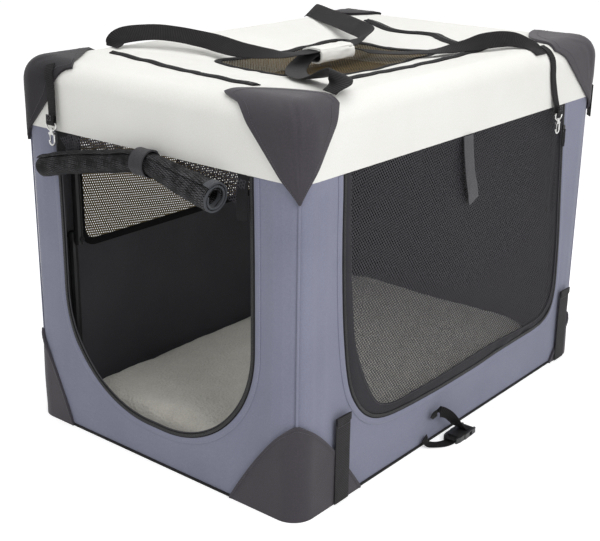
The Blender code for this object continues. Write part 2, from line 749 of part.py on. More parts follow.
def low_patch(name, side, end, end_leg, side_leg, height):
    """An arched patch round one lower corner, its toes on the ground."""
    half_arc = EDGE_R * math.pi / 4
    core = Vector((HALF_W - EDGE_R, HALF_L - EDGE_R, 0))
    rings = []
    for leg, along_end in ((end_leg, True), (side_leg, False)):
        straight = leg - EDGE_R
        runs = [(half_arc + straight * k / 4, straight * k / 4) for k in range(4, 0, -1)]
        runs += [(half_arc * k / 4, 0) for k in range(4, 0, -1)]
        side_rings = []
        for along, past in runs + ([(0, 0)] if along_end else []):
            turn = math.radians(45) * (1 + (1 if along_end else -1) * min(along / half_arc, 1))
            out = Vector((math.cos(turn), math.sin(turn), 0))
            foot = core - Vector((past, 0, 0)) if along_end else core - Vector((0, past, 0))
            share = along / (half_arc + straight)
            rise = LOW_PATCH_TOE + (height - LOW_PATCH_TOE) * (1 - share ** 1.35)
            lifts = (LOW_PATCH_LIFT, LOW_PATCH_LIFT + PATCH_T)
            ring = [foot + out * (EDGE_R + lift) + Z_AXIS * z
                    for lift, z in ((lifts[0], 0), (lifts[1], 0), (lifts[1], rise), (lifts[0], rise))]
            side_rings.append([Vector((side * p.x, end * p.y, p.z)) for p in ring])
        rings += side_rings if along_end else side_rings[::-1]
    add_object(name, loft(rings), "black_cloth")


def build_patches():
    for corner, *sizes in TOP_PATCHES:
        top_patch(f"top_patch_{corner}", *sizes)
    for corner, *sizes in LOW_PATCHES:
        low_patch(f"bottom_patch_{corner}", *sizes)


# Floor

def build_floor():
    sheet_half_x, sheet_half_y = HALF_W - CLOTH - GAP, HALF_L - CLOTH - GAP
    loop = rounded_rectangle(sheet_half_x, sheet_half_y, EDGE_R - CLOTH - GAP, 4, 1)
    add_object("floor_sheet", loft([[Vector((x, y, z)) for x, y in loop]
                                    for z in (0, FLOOR_CLOTH)]), "black_cloth")
    inside = TUBE_R + BOARD_CLEARANCE
    loop = rounded_rectangle(RAIL_X - inside, RAIL_Y - inside, BEND_R - inside, 4, 1)
    add_object("floor_board", loft([[Vector((x, y, z)) for x, y in loop]
                                    for z in (BOARD_Z, BOARD_Z + BOARD_T)]), "board")
    rings = []
    for turn in (0, 30, 60, 90):
        angle = math.radians(turn)
        inset = MAT_EDGE * (1 - math.sin(angle))
        loop = rounded_rectangle(MAT_HALF_X - inset, MAT_HALF_Y - inset, MAT_CORNER_R - inset, 4, 1)
        rings.append([Vector((x, y, MAT_Z + MAT_EDGE * (1 - math.cos(angle)))) for x, y in loop])
    for turn in (0, 30, 60, 90):
        angle = math.radians(turn)
        inset = MAT_EDGE * (1 - math.cos(angle))
        loop = rounded_rectangle(MAT_HALF_X - inset, MAT_HALF_Y - inset, MAT_CORNER_R - inset, 4, 1)
        rings.append([Vector((x, y, MAT_Z + MAT_T - MAT_EDGE * (1 - math.sin(angle)))) for x, y in loop])
    add_object("mat", loft(rings), "fleece")


# Rolled front door and its tie

# Points along the roll as (x, drop below the seam)
ROLL_DROPS = ((-0.2255, 0.0575), (-0.155, 0.0400), (-0.062, 0.0225),
              (0.017, 0.0105), (0.090, 0.0235), (0.165, 0.0360))
ROLL_STEPS = 2


def roll_radius(share):
    """Radius of the rolled door along its length, waisted where the tie holds it."""
    if share < ROLL_TIE_AT:
        return ROLL_R + (ROLL_WAIST_R - ROLL_R) * (share / ROLL_TIE_AT) ** 3
    return ROLL_WAIST_R + (ROLL_MOUTH_R - ROLL_WAIST_R) * (share - ROLL_TIE_AT) / (1 - ROLL_TIE_AT)


def build_roll():
    flat = smooth_route([(x, 0, SEAM_Z - drop) for x, drop in ROLL_DROPS], ROLL_STEPS)
    last = len(flat) - 1
    radii = [roll_radius(i / last) for i in range(last + 1)]
    at = round(ROLL_TIE_AT * last)
    tie_outside = radii[at] + GAP + TIE_SLACK + WEB_T
    facet = math.cos(math.pi / ROLL_SIDES)
    route = [Vector((p.x, -HALF_L - 2 * GAP - max(r, tie_outside) * facet, p.z)) for p, r in zip(flat, radii)]
    outer = round_route(route, radii, ROLL_SIDES)
    inner = round_route(route, [r - ROLL_WALL for r in radii], ROLL_SIDES)
    add_object("door_roll", loft(outer + inner[::-1], closed=True), "black_net")
    band, band_radii = [], []
    for side in (-1, 0, 1):
        share = abs(side) * TIE_WIDTH / 2 / (route[at + side] - route[at]).length if side else 0
        band.append(route[at].lerp(route[at + side], share))
        band_radii.append(radii[at] + (radii[at + side] - radii[at]) * share + GAP + TIE_SLACK)
    inside = round_route(band, band_radii, ROLL_SIDES)
    outside = round_route(band, [r + WEB_T for r in band_radii], ROLL_SIDES)
    add_object("door_roll_tie", loft(outside + inside[::-1], closed=True), "tie_tape")


# Handles and their grip

HANDLE_SPLIT = 0.0044
# Points along each handle as (x, y, rise over the roof's edge, tilt of the width in degrees). The rise
# is None where the handle lies in the grip.
RIGHT_HANDLE = ((0.277, -0.354, 0.0052, 0), (0.282, -0.337, 0.0190, 10), (0.266, -0.318, 0.0270, 25),
                (0.222, -0.292, 0.0160, 10), (0.175, -0.270, 0.0010, 0), (0.115, -0.225, -0.0080, 0),
                (0.055, -0.160, -0.0170, 0), (0.010, -0.098, -0.0200, 0), (0, -0.050, None, 0), (0, 0, None, 0),
                (0, 0.050, None, 0), (0.020, 0.092, -0.0170, 0), (0.080, 0.105, -0.0150, 0),
                (0.140, 0.125, -0.0080, 5), (0.185, 0.160, 0.0030, 25), (0.212, 0.190, 0.0120, 40),
                (0.240, 0.222, 0.0140, 40), (0.266, 0.236, 0.0070, 20), (0.284, 0.236, -0.0004, 0),
                (0.297, 0.236, -0.0088, 0))
LEFT_HANDLE = ((-0.272, -0.282, 0.0014, 0), (-0.266, -0.262, 0.0180, 40), (-0.225, -0.205, 0.0220, 40),
               (-0.165, -0.150, 0.0110, 40), (-0.090, -0.145, 0.0020, 35), (-0.030, -0.120, -0.0030, 15),
               (-0.004, -0.085, -0.0035, 0), (0, -0.050, None, 0), (0, 0, None, 0), (0, 0.050, None, 0),
               (-0.004, 0.086, 0.0020, -10), (-0.012, 0.128, 0.0090, -35), (-0.075, 0.172, 0.0110, -40),
               (-0.150, 0.222, 0.0110, -40), (-0.225, 0.268, 0.0110, -40), (-0.279, 0.300, 0.0120, -40),
               (-0.2935, 0.3085, 0.0080, -40))


def handle(name, points, level):
    """A carry handle. Its points without a rise lie in the grip, at level."""
    route = smooth_route([(x, y, level if rise is None else HEIGHT + rise) for x, y, rise, tilt in points], 2)
    tilts = [tilt for x, y, rise, tilt in points]
    between = [(a + b) / 2 for a, b in zip(tilts, tilts[1:])]
    tilts = [tilt for pair in zip(tilts, between) for tilt in pair] + tilts[-1:]
    rings = []
    for point, along, tilt in zip(route, tangents(route), tilts):
        level_across = Z_AXIS.cross(along).normalized()
        wide = Matrix.Rotation(math.radians(tilt), 3, along) @ level_across
        thick = along.cross(wide)
        rings.append([point + wide * (a * HANDLE_WIDTH / 2) + thick * (b * WEB_T / 2)
                      for a, b in ((-1, -1), (1, -1), (1, 1), (-1, 1))])
    add_object(name, loft(rings), "webbing")


def build_handles():
    """Both handles run through the grip, which hangs from them over the sagging roof."""
    grip_z = HEIGHT - sag(0, GRIP_LENGTH / 2) + GRIP_LIFT + GRIP_HALF_HEIGHT
    top_level = grip_z + GRIP_HALF_HEIGHT - GRIP_WALL - GRIP_HANDLE_DROP
    handle("left_handle", LEFT_HANDLE, top_level)
    handle("right_handle", RIGHT_HANDLE, top_level - HANDLE_SPLIT)
    rings = []
    for y, wall_t in ((-GRIP_LENGTH / 2, 0), (GRIP_LENGTH / 2, 0),
                      (GRIP_LENGTH / 2, GRIP_WALL), (-GRIP_LENGTH / 2, GRIP_WALL)):
        loop = rounded_rectangle(GRIP_HALF_WIDTH - wall_t, GRIP_HALF_HEIGHT - wall_t,
                                 GRIP_CORNER_R - wall_t, 4, 1)
        rings.append([Vector((x, y, grip_z + z)) for x, z in loop])
    add_object("handle_grip", loft(rings, closed=True), "cream_cloth")


# Straps on the walls

def strap_on_side(name, points, width, lift, finish):
    """A strap lying on the long right side along (y, z) points."""
    x = HALF_W + lift + WEB_T / 2
    route = [Vector((x, y, z)) for y, z in points]
    add_object(name, webbing(route, width, WEB_T, (Y_AXIS,)), finish)


def build_side_straps():
    over_patch = LOW_PATCH_LIFT + PATCH_T + GAP
    for name, y in (("side_tab_front", TAB_FRONT_INSET - HALF_L), ("side_tab_rear", HALF_L - TAB_REAR_INSET)):
        strap_on_side(name, ((y, 0), (y, TAB_RISE)), TAB_WIDTH, over_patch, "webbing")
    tie_top = SEAM_Z - TIE_TUCK
    tie_ends = ((-TIE_LEAN, tie_top), (TIE_LEAN, tie_top - TIE_DROP))
    strap_on_side("side_tie_strap", tie_ends, TIE_WIDTH, GAP, "tie_tape")
    lift = PATCH_LIFT + PATCH_T + GAP + WEB_T / 2
    out = Vector((1, 1, 0)).normalized()
    core = Vector((HALF_W - EDGE_R, HALF_L - EDGE_R, 0))
    top = HEIGHT - STRAP_END_DROP
    low = top - STRAP_END_LENGTH
    route = [core + out * (EDGE_R + lift) + Z_AXIS * z for z in (top, low)]
    add_object("rear_strap_end", webbing(route, STRAP_WIDTH, WEB_T, (Vector((-1, 1, 0)),)), "webbing")


# Snap hooks. Each is drawn facing -Y round its eye bar and then turned onto its wall.

def closed_rod(path, radius, sides):
    """A ring of round bar along a closed path in the XZ plane."""
    count = len(path)
    rings = []
    for i in range(count):
        along = (path[(i + 1) % count] - path[i - 1]).normalized()
        side = along.cross(Y_AXIS)
        rings.append([path[i] + side * a + Y_AXIS * b for a, b in circle(radius, sides)])
    return loft(rings, closed=True)


def hook_eye_path():
    """The eye's D shape: a straight bar at the top and a bow below it."""
    corner = 0.003
    path = [Vector((x, 0, 0)) for x in (HOOK_EYE_HALF - corner, -HOOK_EYE_HALF + corner)]
    for i in range(7):
        turn = math.radians(180 + 30 * i)
        drop = (HOOK_EYE_HEIGHT - corner) * math.sin(turn)
        path.append(Vector((HOOK_EYE_HALF * math.cos(turn), 0, drop - corner)))
    return path


def hook_pieces(name, place, turns):
    """Adds one snap hook: the strap's eye, the swivelling hook and its sprung gate."""
    turned_to = Matrix.Translation(place) @ Matrix.Rotation(turns * math.pi / 2, 4, "Z")
    boss_top = -HOOK_EYE_HEIGHT + HOOK_BARREL_H / 2
    boss_low = boss_top - HOOK_BARREL_H
    block_top = boss_low - GAP
    block_low = block_top - HOOK_BLOCK_H
    pin = Vector((-HOOK_HALF + HOOK_GATE_R, 0, block_low + HOOK_GATE_R))
    bend = Vector((0, 0, block_top - HOOK_DROP + HOOK_HALF + HOOK_ROD_R))
    tip = Vector((-HOOK_HALF, 0, bend.z + HOOK_TIP))

    def place_piece(label, bm, finish=None, origin=None):
        bm.transform(turned_to)
        origin = turned_to @ origin if origin else Vector((0, 0, 0))
        return add_object(f"{name}_{label}", bm, finish, origin)

    def along_y(x, z, half, radius, sides=ROD_SIDES):
        return rod((x, -half, z), (x, half, z), radius, sides)

    eye = place_piece("eye", closed_rod(hook_eye_path(), HOOK_ROD_R, ROD_SIDES), "nickel")
    boolean(eye, place_piece("boss", rod((0, 0, boss_low), (0, 0, boss_top), HOOK_BARREL_R, 12)), "UNION")
    hole = rod((0, 0, boss_low - 0.001), (0, 0, boss_top + 0.001), SWIVEL_PIN_R + PIN_CLEARANCE, 12)
    boolean(eye, place_piece("boss_hole", hole), "DIFFERENCE")
    slit = box((-HOOK_BARREL_R, -HOOK_BARREL_R, boss_top),
               (HOOK_BARREL_R, HOOK_BARREL_R, boss_top + HOOK_ROD_R * 2))
    boolean(eye, place_piece("boss_face", slit), "DIFFERENCE")

    block = box((-HOOK_HALF, -HOOK_BLOCK_T / 2, block_low), (HOOK_HALF, HOOK_BLOCK_T / 2, block_top))
    hook = place_piece("swivel", block, "nickel", Vector((0, 0, block_top)))
    stud_top = boss_top + GAP + PIN_HEAD
    stud = rod((0, 0, block_low), (0, 0, stud_top - PIN_HEAD / 2), SWIVEL_PIN_R, 12)
    boolean(hook, place_piece("stud", stud), "UNION")
    head = rod((0, 0, stud_top - PIN_HEAD), (0, 0, stud_top), HOOK_BARREL_R - GAP, 12)
    boolean(hook, place_piece("stud_head", head), "UNION")
    bow = [Vector((HOOK_HALF - HOOK_ROD_R, 0, block_low + HOOK_ROD_R / 2)),
           Vector((HOOK_HALF, 0, block_low - HOOK_NECK))]
    bow += [bend + Vector((x, 0, -z)) for x, z in arc_points((0, 0), HOOK_HALF, 0, 180, 6)]
    bow.append(tip)
    rings = []
    for point, along in zip(bow, tangents(bow)):
        side = along.cross(Y_AXIS)
        rings.append([point + side * a + Y_AXIS * b for a, b in circle(HOOK_ROD_R, ROD_SIDES)])
    boolean(hook, place_piece("bow", loft(rings)), "UNION")
    slot_half = HOOK_GATE_T / 2 + PIN_CLEARANCE
    slot = box((-2 * HOOK_HALF, -slot_half, block_low - HOOK_GATE_R),
               (pin.x + HOOK_GATE_R + HOOK_GATE_SWING, slot_half, pin.z + HOOK_GATE_R + PIN_CLEARANCE))
    boolean(hook, place_piece("gate_slot", slot), "DIFFERENCE")
    boolean(hook, place_piece("gate_pin", along_y(pin.x, pin.z, HOOK_BLOCK_T / 2 - GAP, GATE_PIN_R)), "UNION")

    rest_x = -HOOK_HALF + HOOK_ROD_R + GAP
    low = tip.z - HOOK_GATE_LAP
    inner_x = rest_x + HOOK_GATE_W
    outline = arc_points((pin.x, pin.z), HOOK_GATE_R, 0, 180, 6)
    outline += [(rest_x, tip.z), (rest_x, low), (inner_x, low), (inner_x, tip.z)]
    gate = place_piece("gate", end_slab(outline, -HOOK_GATE_T / 2, HOOK_GATE_T / 2), "nickel", pin)
    bore = along_y(pin.x, pin.z, HOOK_BLOCK_T, GATE_PIN_R + PIN_CLEARANCE)
    boolean(gate, place_piece("gate_bore", bore), "DIFFERENCE")


def hook_strap(name, place, turns, shift, lift):
    """The hook's strap: over the rounded edge, down the wall and round the eye bar.

    shift is how far the strap's top lies to one side of the eye, lift how far it lies off the wall.
    """
    turned_to = Matrix.Translation(place) @ Matrix.Rotation(turns * math.pi / 2, 4, "Z")
    to_wall = HOOK_STANDOFF
    level = HEIGHT - EDGE_R - place.z
    off = lift + WEB_T / 2
    wrap = HOOK_ROD_R + GAP + WEB_T / 2
    route = []
    for angle in (75, 50, 25, 0):
        turn = math.radians(angle)
        reach = EDGE_R + off
        route.append((shift, to_wall + EDGE_R - reach * math.cos(turn), level + reach * math.sin(turn)))
    fall = level - STRAP_KINK
    route.append((shift * 0.8, to_wall - off, STRAP_KINK + fall * 0.7))
    route.append((shift * 0.3, to_wall - off - (to_wall - off - wrap) * 0.3, STRAP_KINK + fall * 0.25))
    route.append((0, wrap, STRAP_KINK * 0.5))
    route += [(0, y, -z) for y, z in arc_points((0, 0), wrap, 0, 180, 6)]
    route.append((0, -wrap + 0.0004, STRAP_KINK))
    points = [turned_to @ Vector(p) for p in route]
    wide = Matrix.Rotation(turns * math.pi / 2, 3, "Z") @ X_AXIS
    add_object(name, webbing(points, HOOK_STRAP_WIDTH, WEB_T, (wide,)), "webbing")


def build_hooks():
    place = Vector((FRONT_HOOK_INSET - HALF_W, -HALF_L - HOOK_STANDOFF, HEIGHT - FRONT_HOOK_HANG))
    hook_pieces("front_hook", place, 0)
    hook_strap("front_hook_strap", place, 0, 0, PATCH_LIFT + PATCH_T + HOOK_STRAP_LIFT)
    place = Vector((HALF_W + HOOK_STANDOFF, HALF_L - SIDE_HOOK_INSET, HEIGHT - SIDE_HOOK_HANG))
    hook_pieces("side_hook", place, 1)
    hook_strap("side_hook_strap", place, 1, -SIDE_HOOK_LEAN, HOOK_STRAP_LIFT)


# Buckle of the folding strap, lying clipped on the ground beside the right wall

def buckle_point(across, along, up):
    return Vector((BUCKLE_X + across, BUCKLE_Y + along, up))


def buckle_box(low, high):
    return box(buckle_point(*low), buckle_point(*high))


def buckle_plate(outline, low, high):
    return loft([[buckle_point(x, y, z) for x, y in outline] for z in (low, high)])


def buckle_frame(piece, end, toward_body):
    """Cuts the strap's mouth into a buckle half and gives it a round bar there."""
    bar_y = end + toward_body * (BAR_R + BAR_INSET)
    deep = end + toward_body * BUCKLE_MOUTH
    low, high = sorted((end - toward_body * 0.001, deep))
    mouth = buckle_box((-BUCKLE_SLOT_HALF, low, -0.001), (BUCKLE_SLOT_HALF, high, BUCKLE_T + 0.001))
    boolean(piece, add_object(f"{piece.name}_mouth", mouth), "DIFFERENCE")
    ends = [buckle_point(s * (BUCKLE_SLOT_HALF + 0.002), bar_y, BUCKLE_T / 2) for s in (-1, 1)]
    boolean(piece, add_object(f"{piece.name}_bar", rod(ends[0], ends[1], BAR_R, ROD_SIDES)), "UNION")
    return bar_y


def build_buckle():
    """The socket lies toward +Y and the plug toward -Y, with its prongs inside the socket."""
    half = BUCKLE_HALF_WIDTH
    right_edge = [(half - 0.002, -BUCKLE_SOCKET), (half, -BUCKLE_SOCKET + 0.003), (half - 0.001, -0.012),
                  (half - 0.002, -0.001), (half - 0.003, 0)]
    socket_outline = right_edge + [(-x, y) for x, y in reversed(right_edge)]
    socket = add_object("buckle_socket", buckle_plate(socket_outline, 0, BUCKLE_T), "plastic")
    deep = -BUCKLE_MOUTH - BUCKLE_WALL
    wall_t = BUCKLE_WALL
    inner = half - 0.0012 - wall_t
    cavity = buckle_box((-inner, -BUCKLE_SOCKET - 0.001, wall_t), (inner, deep, BUCKLE_T - wall_t))
    boolean(socket, add_object("socket_cavity", cavity), "DIFFERENCE")
    window = buckle_box((-half - 0.001, deep - 0.011, wall_t),
                        (half + 0.001, deep - 0.003, BUCKLE_T - wall_t))
    boolean(socket, add_object("socket_windows", window), "DIFFERENCE")
    socket_bar = buckle_frame(socket, 0, -1)

    seat = -BUCKLE_SOCKET - GAP
    far = seat - BUCKLE_PLUG
    plug_outline = [(-half + 0.001, seat), (half - 0.001, seat), (half - 0.001, far + 0.010),
                    (half - 0.003, far), (-half + 0.003, far), (-half + 0.001, far + 0.010)]
    plug = add_object("buckle_plug", buckle_plate(plug_outline, 0, BUCKLE_T), "plastic")
    low, high = wall_t + PIN_CLEARANCE, BUCKLE_T - wall_t - PIN_CLEARANCE
    tip = seat + PRONG_LENGTH
    reach = inner - PIN_CLEARANCE
    for side in (-1, 1):
        prong = [(side * (reach - 0.0012 - PRONG_W), seat - 0.002), (side * (reach - 0.0012), seat - 0.002),
                 (side * (reach - 0.0012), tip - 0.008), (side * reach, tip - 0.0065),
                 (side * (reach - 0.0015), tip), (side * (reach - 0.0012 - PRONG_W), tip - 0.002)]
        boolean(plug, add_object(f"plug_prong_{side}", buckle_plate(prong, low, high)), "UNION")
    guide_edge = [(0.0016, seat - 0.002), (0.001, tip - 0.004)]
    guide = buckle_plate(guide_edge + [(-x, y) for x, y in reversed(guide_edge)], low, high)
    boolean(plug, add_object("plug_guide", guide), "UNION")
    plug_bar = buckle_frame(plug, far, 1)
    build_buckle_straps(plug_bar, socket_bar)


def build_buckle_straps(plug_bar, socket_bar):
    """One strap lies on the ground to the plug, the other arches over the buckle to the socket."""
    wrap = BAR_R + GAP + WEB_T / 2
    middle = BUCKLE_T / 2
    sewn = HALF_W + STRAP_ROOT - BUCKLE_X
    turn = arc_points((0, 0), wrap, -90, 90, 6)
    route = [buckle_point(sewn * (1 - share), plug_bar + y, z) for share, y, z in PLUG_STRAP_FALL]
    route.append(buckle_point(-0.008, plug_bar - 0.026, middle - wrap))
    route.append(buckle_point(-0.001, plug_bar - 0.012, middle - wrap))
    route += [buckle_point(0, plug_bar + y, middle + z) for y, z in turn]
    route.append(buckle_point(0, plug_bar - 0.008, middle + wrap - 0.0004))
    plug_strap = webbing(route, STRAP_WIDTH, WEB_T, (Y_AXIS, -X_AXIS), 3)
    add_object("buckle_plug_strap", plug_strap, "webbing")
    over = BUCKLE_T + GAP + WEB_T / 2
    route = [buckle_point(sewn * (1 - share), y, z) for share, y, z in SOCKET_STRAP_ARCH]
    route += [buckle_point(0, -SOCKET_STRAP_LANDING, over + 0.001), buckle_point(0, -0.010, over)]
    route += [buckle_point(0, socket_bar + y, middle - z) for y, z in turn]
    socket_strap = webbing(route, STRAP_WIDTH, WEB_T, (Y_AXIS, -X_AXIS), 4)
    add_object("buckle_socket_strap", socket_strap, "webbing")


# Zip sliders

def slider(name, place, along, out, finish):
    """A zip slider and its pull, as one flat piece lying on the cloth."""
    along, out = Vector(along), Vector(out)
    across = out.cross(along)
    end = SLIDER_LENGTH + SLIDER_PULL
    right_edge = [(SLIDER_NOSE, 0), (SLIDER_WIDTH / 2, SLIDER_LENGTH * 0.4), (SLIDER_TAIL, SLIDER_LENGTH),
                  (SLIDER_PULL_HALF, SLIDER_LENGTH), (SLIDER_PULL_HALF, end)]
    outline = right_edge + [(-x, y) for x, y in reversed(right_edge)]
    rings = [[place + across * a + along * b + out * up for a, b in outline] for up in (0, SLIDER_T)]
    return add_object(name, loft(rings), finish, place)


def build_sliders():
    x, y = ROOF_SLIDER_X, ROOF_SLIDER_INSET - HALF_L
    place = Vector((x, y, HEIGHT - sag(x, y) + GAP))
    slider("roof_zip_slider", place, Vector((-1, ROOF_ZIP_LEAN, 0)).normalized(), Z_AXIS, "nickel")
    place = Vector((HALF_W + GAP, SIDE_DOOR_REAR, SEAM_Z - SIDE_SLIDER_DROP))
    slider("side_zip_slider", place, -Z_AXIS, X_AXIS, "nickel")


def main():
    clear_scene()
    build_frame()
    build_walls()
    build_nets()
    build_roof()
    build_patches()
    build_floor()
    build_roll()
    build_handles()
    build_side_straps()
    build_hooks()
    build_buckle()
    build_sliders()


main()
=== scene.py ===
"""Studio scene of a folding soft dog crate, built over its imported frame.

The cover, nets, straps, rolled door and mat are made here as cloth. Geometry Nodes set their stitches and
zip teeth and draw the strands of their nets. The steel frame, hooks, buckle halves and sliders are the
frame's own parts with new materials. Lengths are metres, +Z is up.
"""
import json
import math

import bpy
from mathutils import Matrix, Vector, noise


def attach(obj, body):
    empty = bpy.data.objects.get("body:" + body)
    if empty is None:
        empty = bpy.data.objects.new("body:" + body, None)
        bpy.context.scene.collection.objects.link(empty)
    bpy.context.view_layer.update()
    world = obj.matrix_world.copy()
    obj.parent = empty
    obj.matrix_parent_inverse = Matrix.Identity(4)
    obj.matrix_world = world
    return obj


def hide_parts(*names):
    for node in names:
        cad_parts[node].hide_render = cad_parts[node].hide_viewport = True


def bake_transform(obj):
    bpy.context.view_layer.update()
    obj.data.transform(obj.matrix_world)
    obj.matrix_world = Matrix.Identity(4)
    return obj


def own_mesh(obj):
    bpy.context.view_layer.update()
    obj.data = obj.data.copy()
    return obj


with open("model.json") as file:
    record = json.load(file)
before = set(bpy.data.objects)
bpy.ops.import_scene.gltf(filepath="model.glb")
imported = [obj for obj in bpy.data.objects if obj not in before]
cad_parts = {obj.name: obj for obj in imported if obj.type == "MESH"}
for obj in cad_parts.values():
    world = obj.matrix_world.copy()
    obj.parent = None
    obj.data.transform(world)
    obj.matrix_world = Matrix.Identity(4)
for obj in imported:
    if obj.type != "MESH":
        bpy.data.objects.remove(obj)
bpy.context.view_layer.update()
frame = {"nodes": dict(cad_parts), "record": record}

# The crate's own sizes, as in its CAD source
HALF_W, HALF_L, HEIGHT = 0.305, 0.45, 0.65
EDGE_R = 0.035
HALF_ARC = EDGE_R * math.pi / 4
SEAM_Z = 0.54
ROOF_SAG = 0.034
DOOR_HALF, DOOR_SILL, DOOR_R = 0.214, 0.070, 0.195
WINDOW_SILL, WINDOW_HEAD, WINDOW_R, WINDOW_HALF = 0.295, 0.520, 0.030, 0.335
ROOF_HOLE_X, ROOF_HOLE_Y, ROOF_HOLE_R = 0.115, 0.180, 0.020
MAT_LOW, MAT_TOP, MAT_HALF_X, MAT_HALF_Y = 0.0071, 0.0551, 0.2540, 0.4197
# How far the mat's pile stands above its solid
MAT_PILE = 0.014

FRONT, RIGHT, REAR, LEFT = 0, 1, 2, 3

# What the cloth keeps of its height when the frame folds, and where the roll gathers
KEEP_HANGING = 0.4
ROLL_LEVEL, KEEP_ROLL = 0.500, 0.3

# Thickness of the cover's cloth and of webbing
CLOTH_T, WEB_T = 0.0012, 0.0018

# Pitch of the nets and widths of their flat yarn
NET_PITCH = 0.0046
NET_STRIP, WINDOW_STRIP, LEFT_LOOSE_STRIP, RIGHT_LOOSE_STRIP = 0.00120, 0.00285, 0.0014, 0.0016

# Length, width and height of stitches and zip teeth, and how far apart they are
STITCH = (0.0023, 0.0006, 0.0006)
PATCH_STITCH = (0.0024, 0.0006, 0.0007)
STRAP_STITCH = (0.0024, 0.0007, 0.0007)
WALL_TOOTH, ROOF_TOOTH = (0.0014, 0.0026, 0.0014), (0.0014, 0.0040, 0.0014)
STITCH_STEP, TOOTH_STEP = 0.0036, 0.0021


# Nodes

class Value:
    """A node's output in a sum: each operator adds a Math node, also with a number on the left."""

    def __init__(self, nodes, socket):
        self.nodes, self.socket = nodes, socket

    def maths(self, operation, other):
        """A Math node on this output and another or a number."""
        return self.nodes.node("Math", 0, {0: self, 1: other}, operation=operation)

    def __add__(self, other):
        return self.maths("ADD", other)

    def __mul__(self, other):
        return self.maths("MULTIPLY", other)

    __radd__, __rmul__ = __add__, __mul__

    def highest(self, other):
        """The greater of the two."""
        return self.maths("MAXIMUM", other)


class Nodes:
    """Adds the nodes of one tree and wires them."""

    def __init__(self, tree, family="ShaderNode"):
        self.tree, self.family = tree, family

    def wire(self, value, slot):
        """Feeds a socket from another node's output, or sets its value."""
        if isinstance(value, Value):
            self.tree.links.new(value.socket, slot)
        else:
            slot.default_value = value

    def node(self, kind, output, sockets=None, stops=(), **settings):
        """Adds a node, its settings first and then its sockets, and gives the output asked for."""
        made = self.tree.nodes.new(self.family + kind)
        for key, value in settings.items():
            setattr(made, key, value)
        for index, (position, colour) in enumerate(stops):
            made.color_ramp.elements[index].position = position
            made.color_ramp.elements[index].color = (*colour, 1)
        for key, value in (sockets or {}).items():
            self.wire(value, made.inputs[key])
        return Value(self, made.outputs[output])


# A wave texture of this scale has bands one metre wide
METRE_BAND = math.pi / 10


class Finish(Nodes):
    """A material being made."""

    def __init__(self, name):
        self.made = bpy.data.materials.new(name)
        self.made.use_nodes = True
        super().__init__(self.made.node_tree)
        self.place = self.node("TexCoord", "Object")

    def flat(self):
        """The piece's own flat pattern, in metres."""
        return self.node("UVMap", "UV", uv_map="flat")

    def noise(self, scale, detail, **others):
        """Uneven values round a half, fixed to the piece."""
        sockets = {"Vector": self.place, "Scale": scale, "Detail": detail, **others}
        return self.node("TexNoise", "Fac", sockets)

    def bands(self, vector, axis, width, others=None):
        """Waves along an axis, one for each width in metres."""
        return self.node("TexWave", "Fac", {"Vector": vector, "Scale": METRE_BAND / width, **(others or {})},
                         wave_type="BANDS", bands_direction=axis)

    def bump(self, height, strength, distance, others=None):
        """Fine relief of some distance in metres."""
        sockets = {"Height": height, "Strength": strength, "Distance": distance, **(others or {})}
        return self.node("Bump", "Normal", sockets)

    def between(self, value, low, high, start=0.0, stop=1.0):
        """A value that goes from low to high as the given one goes from start to stop."""
        return self.node("MapRange", "Result", {"Value": value, "From Min": start, "From Max": stop,
                                                "To Min": low, "To Max": high})

    def shades(self, factor, dark, light, low=0.3, high=0.7):
        """Colours from dark to light as factor goes from low to high."""
        return self.node("ValToRGB", "Color", {"Fac": factor}, ((low, dark), (high, light)))

    def done(self, sockets):
        """Feeds the shader and gives the material."""
        shader = self.tree.nodes["Principled BSDF"]
        for key, value in sockets.items():
            self.wire(value, shader.inputs[key])
        return self.made


# Materials

def cloth_material(name, dark, light, rough, thread, relief=0.25, sheen=0.15, crease=0.0006, gloss=0.3):
    """Woven cloth: uneven dye, plain weave and small creases."""
    finish = Finish(name)
    flat = finish.flat()
    broad, fine = finish.noise(7.0, 5.0, Roughness=0.55), finish.noise(420.0, 2.0)
    weave = finish.bands(flat, "X", thread).highest(finish.bands(flat, "Y", thread))
    creases = finish.noise(34.0, 6.0, Roughness=0.6, Distortion=0.6)
    creased = finish.bump(creases, 0.35, crease)
    woven = finish.bump(weave, relief, thread * 0.5, {"Normal": creased})
    dyed = finish.shades((broad + fine) * 0.5, dark, light, 0.32, 0.68)
    matt = finish.between(fine, rough - 0.06, min(rough + 0.06, 1.0), 0.3, 0.7)
    return finish.done({"Base Color": dyed, "Normal": woven, "Roughness": matt, "Sheen Weight": sheen,
                        "Sheen Roughness": 0.5, "Specular IOR Level": gloss})


def webbing_material(name, dark, light, rib=0.0030, rough=0.62):
    """Ribbed strap: ribs run across it, finer threads along it, edges slightly worn."""
    finish = Finish(name)
    flat = finish.flat()
    ribs = finish.bands(flat, "Y", rib, {"Distortion": 0.8, "Detail": 1.0, "Detail Scale": 3.0})
    fibres = finish.bands(flat, "X", 0.0012, {"Distortion": 1.5, "Detail": 2.0})
    worn = finish.noise(60.0, 4.0)
    ribbed = finish.bump(ribs, 0.7, 0.0006, {"Normal": finish.bump(fibres, 0.3, 0.0003)})
    return finish.done({"Base Color": finish.shades(ribs * worn, dark, light, 0.1, 0.6), "Normal": ribbed,
                        "Roughness": finish.between(worn, rough - 0.1, rough + 0.1), "Sheen Weight": 0.02,
                        "Specular IOR Level": 0.12})


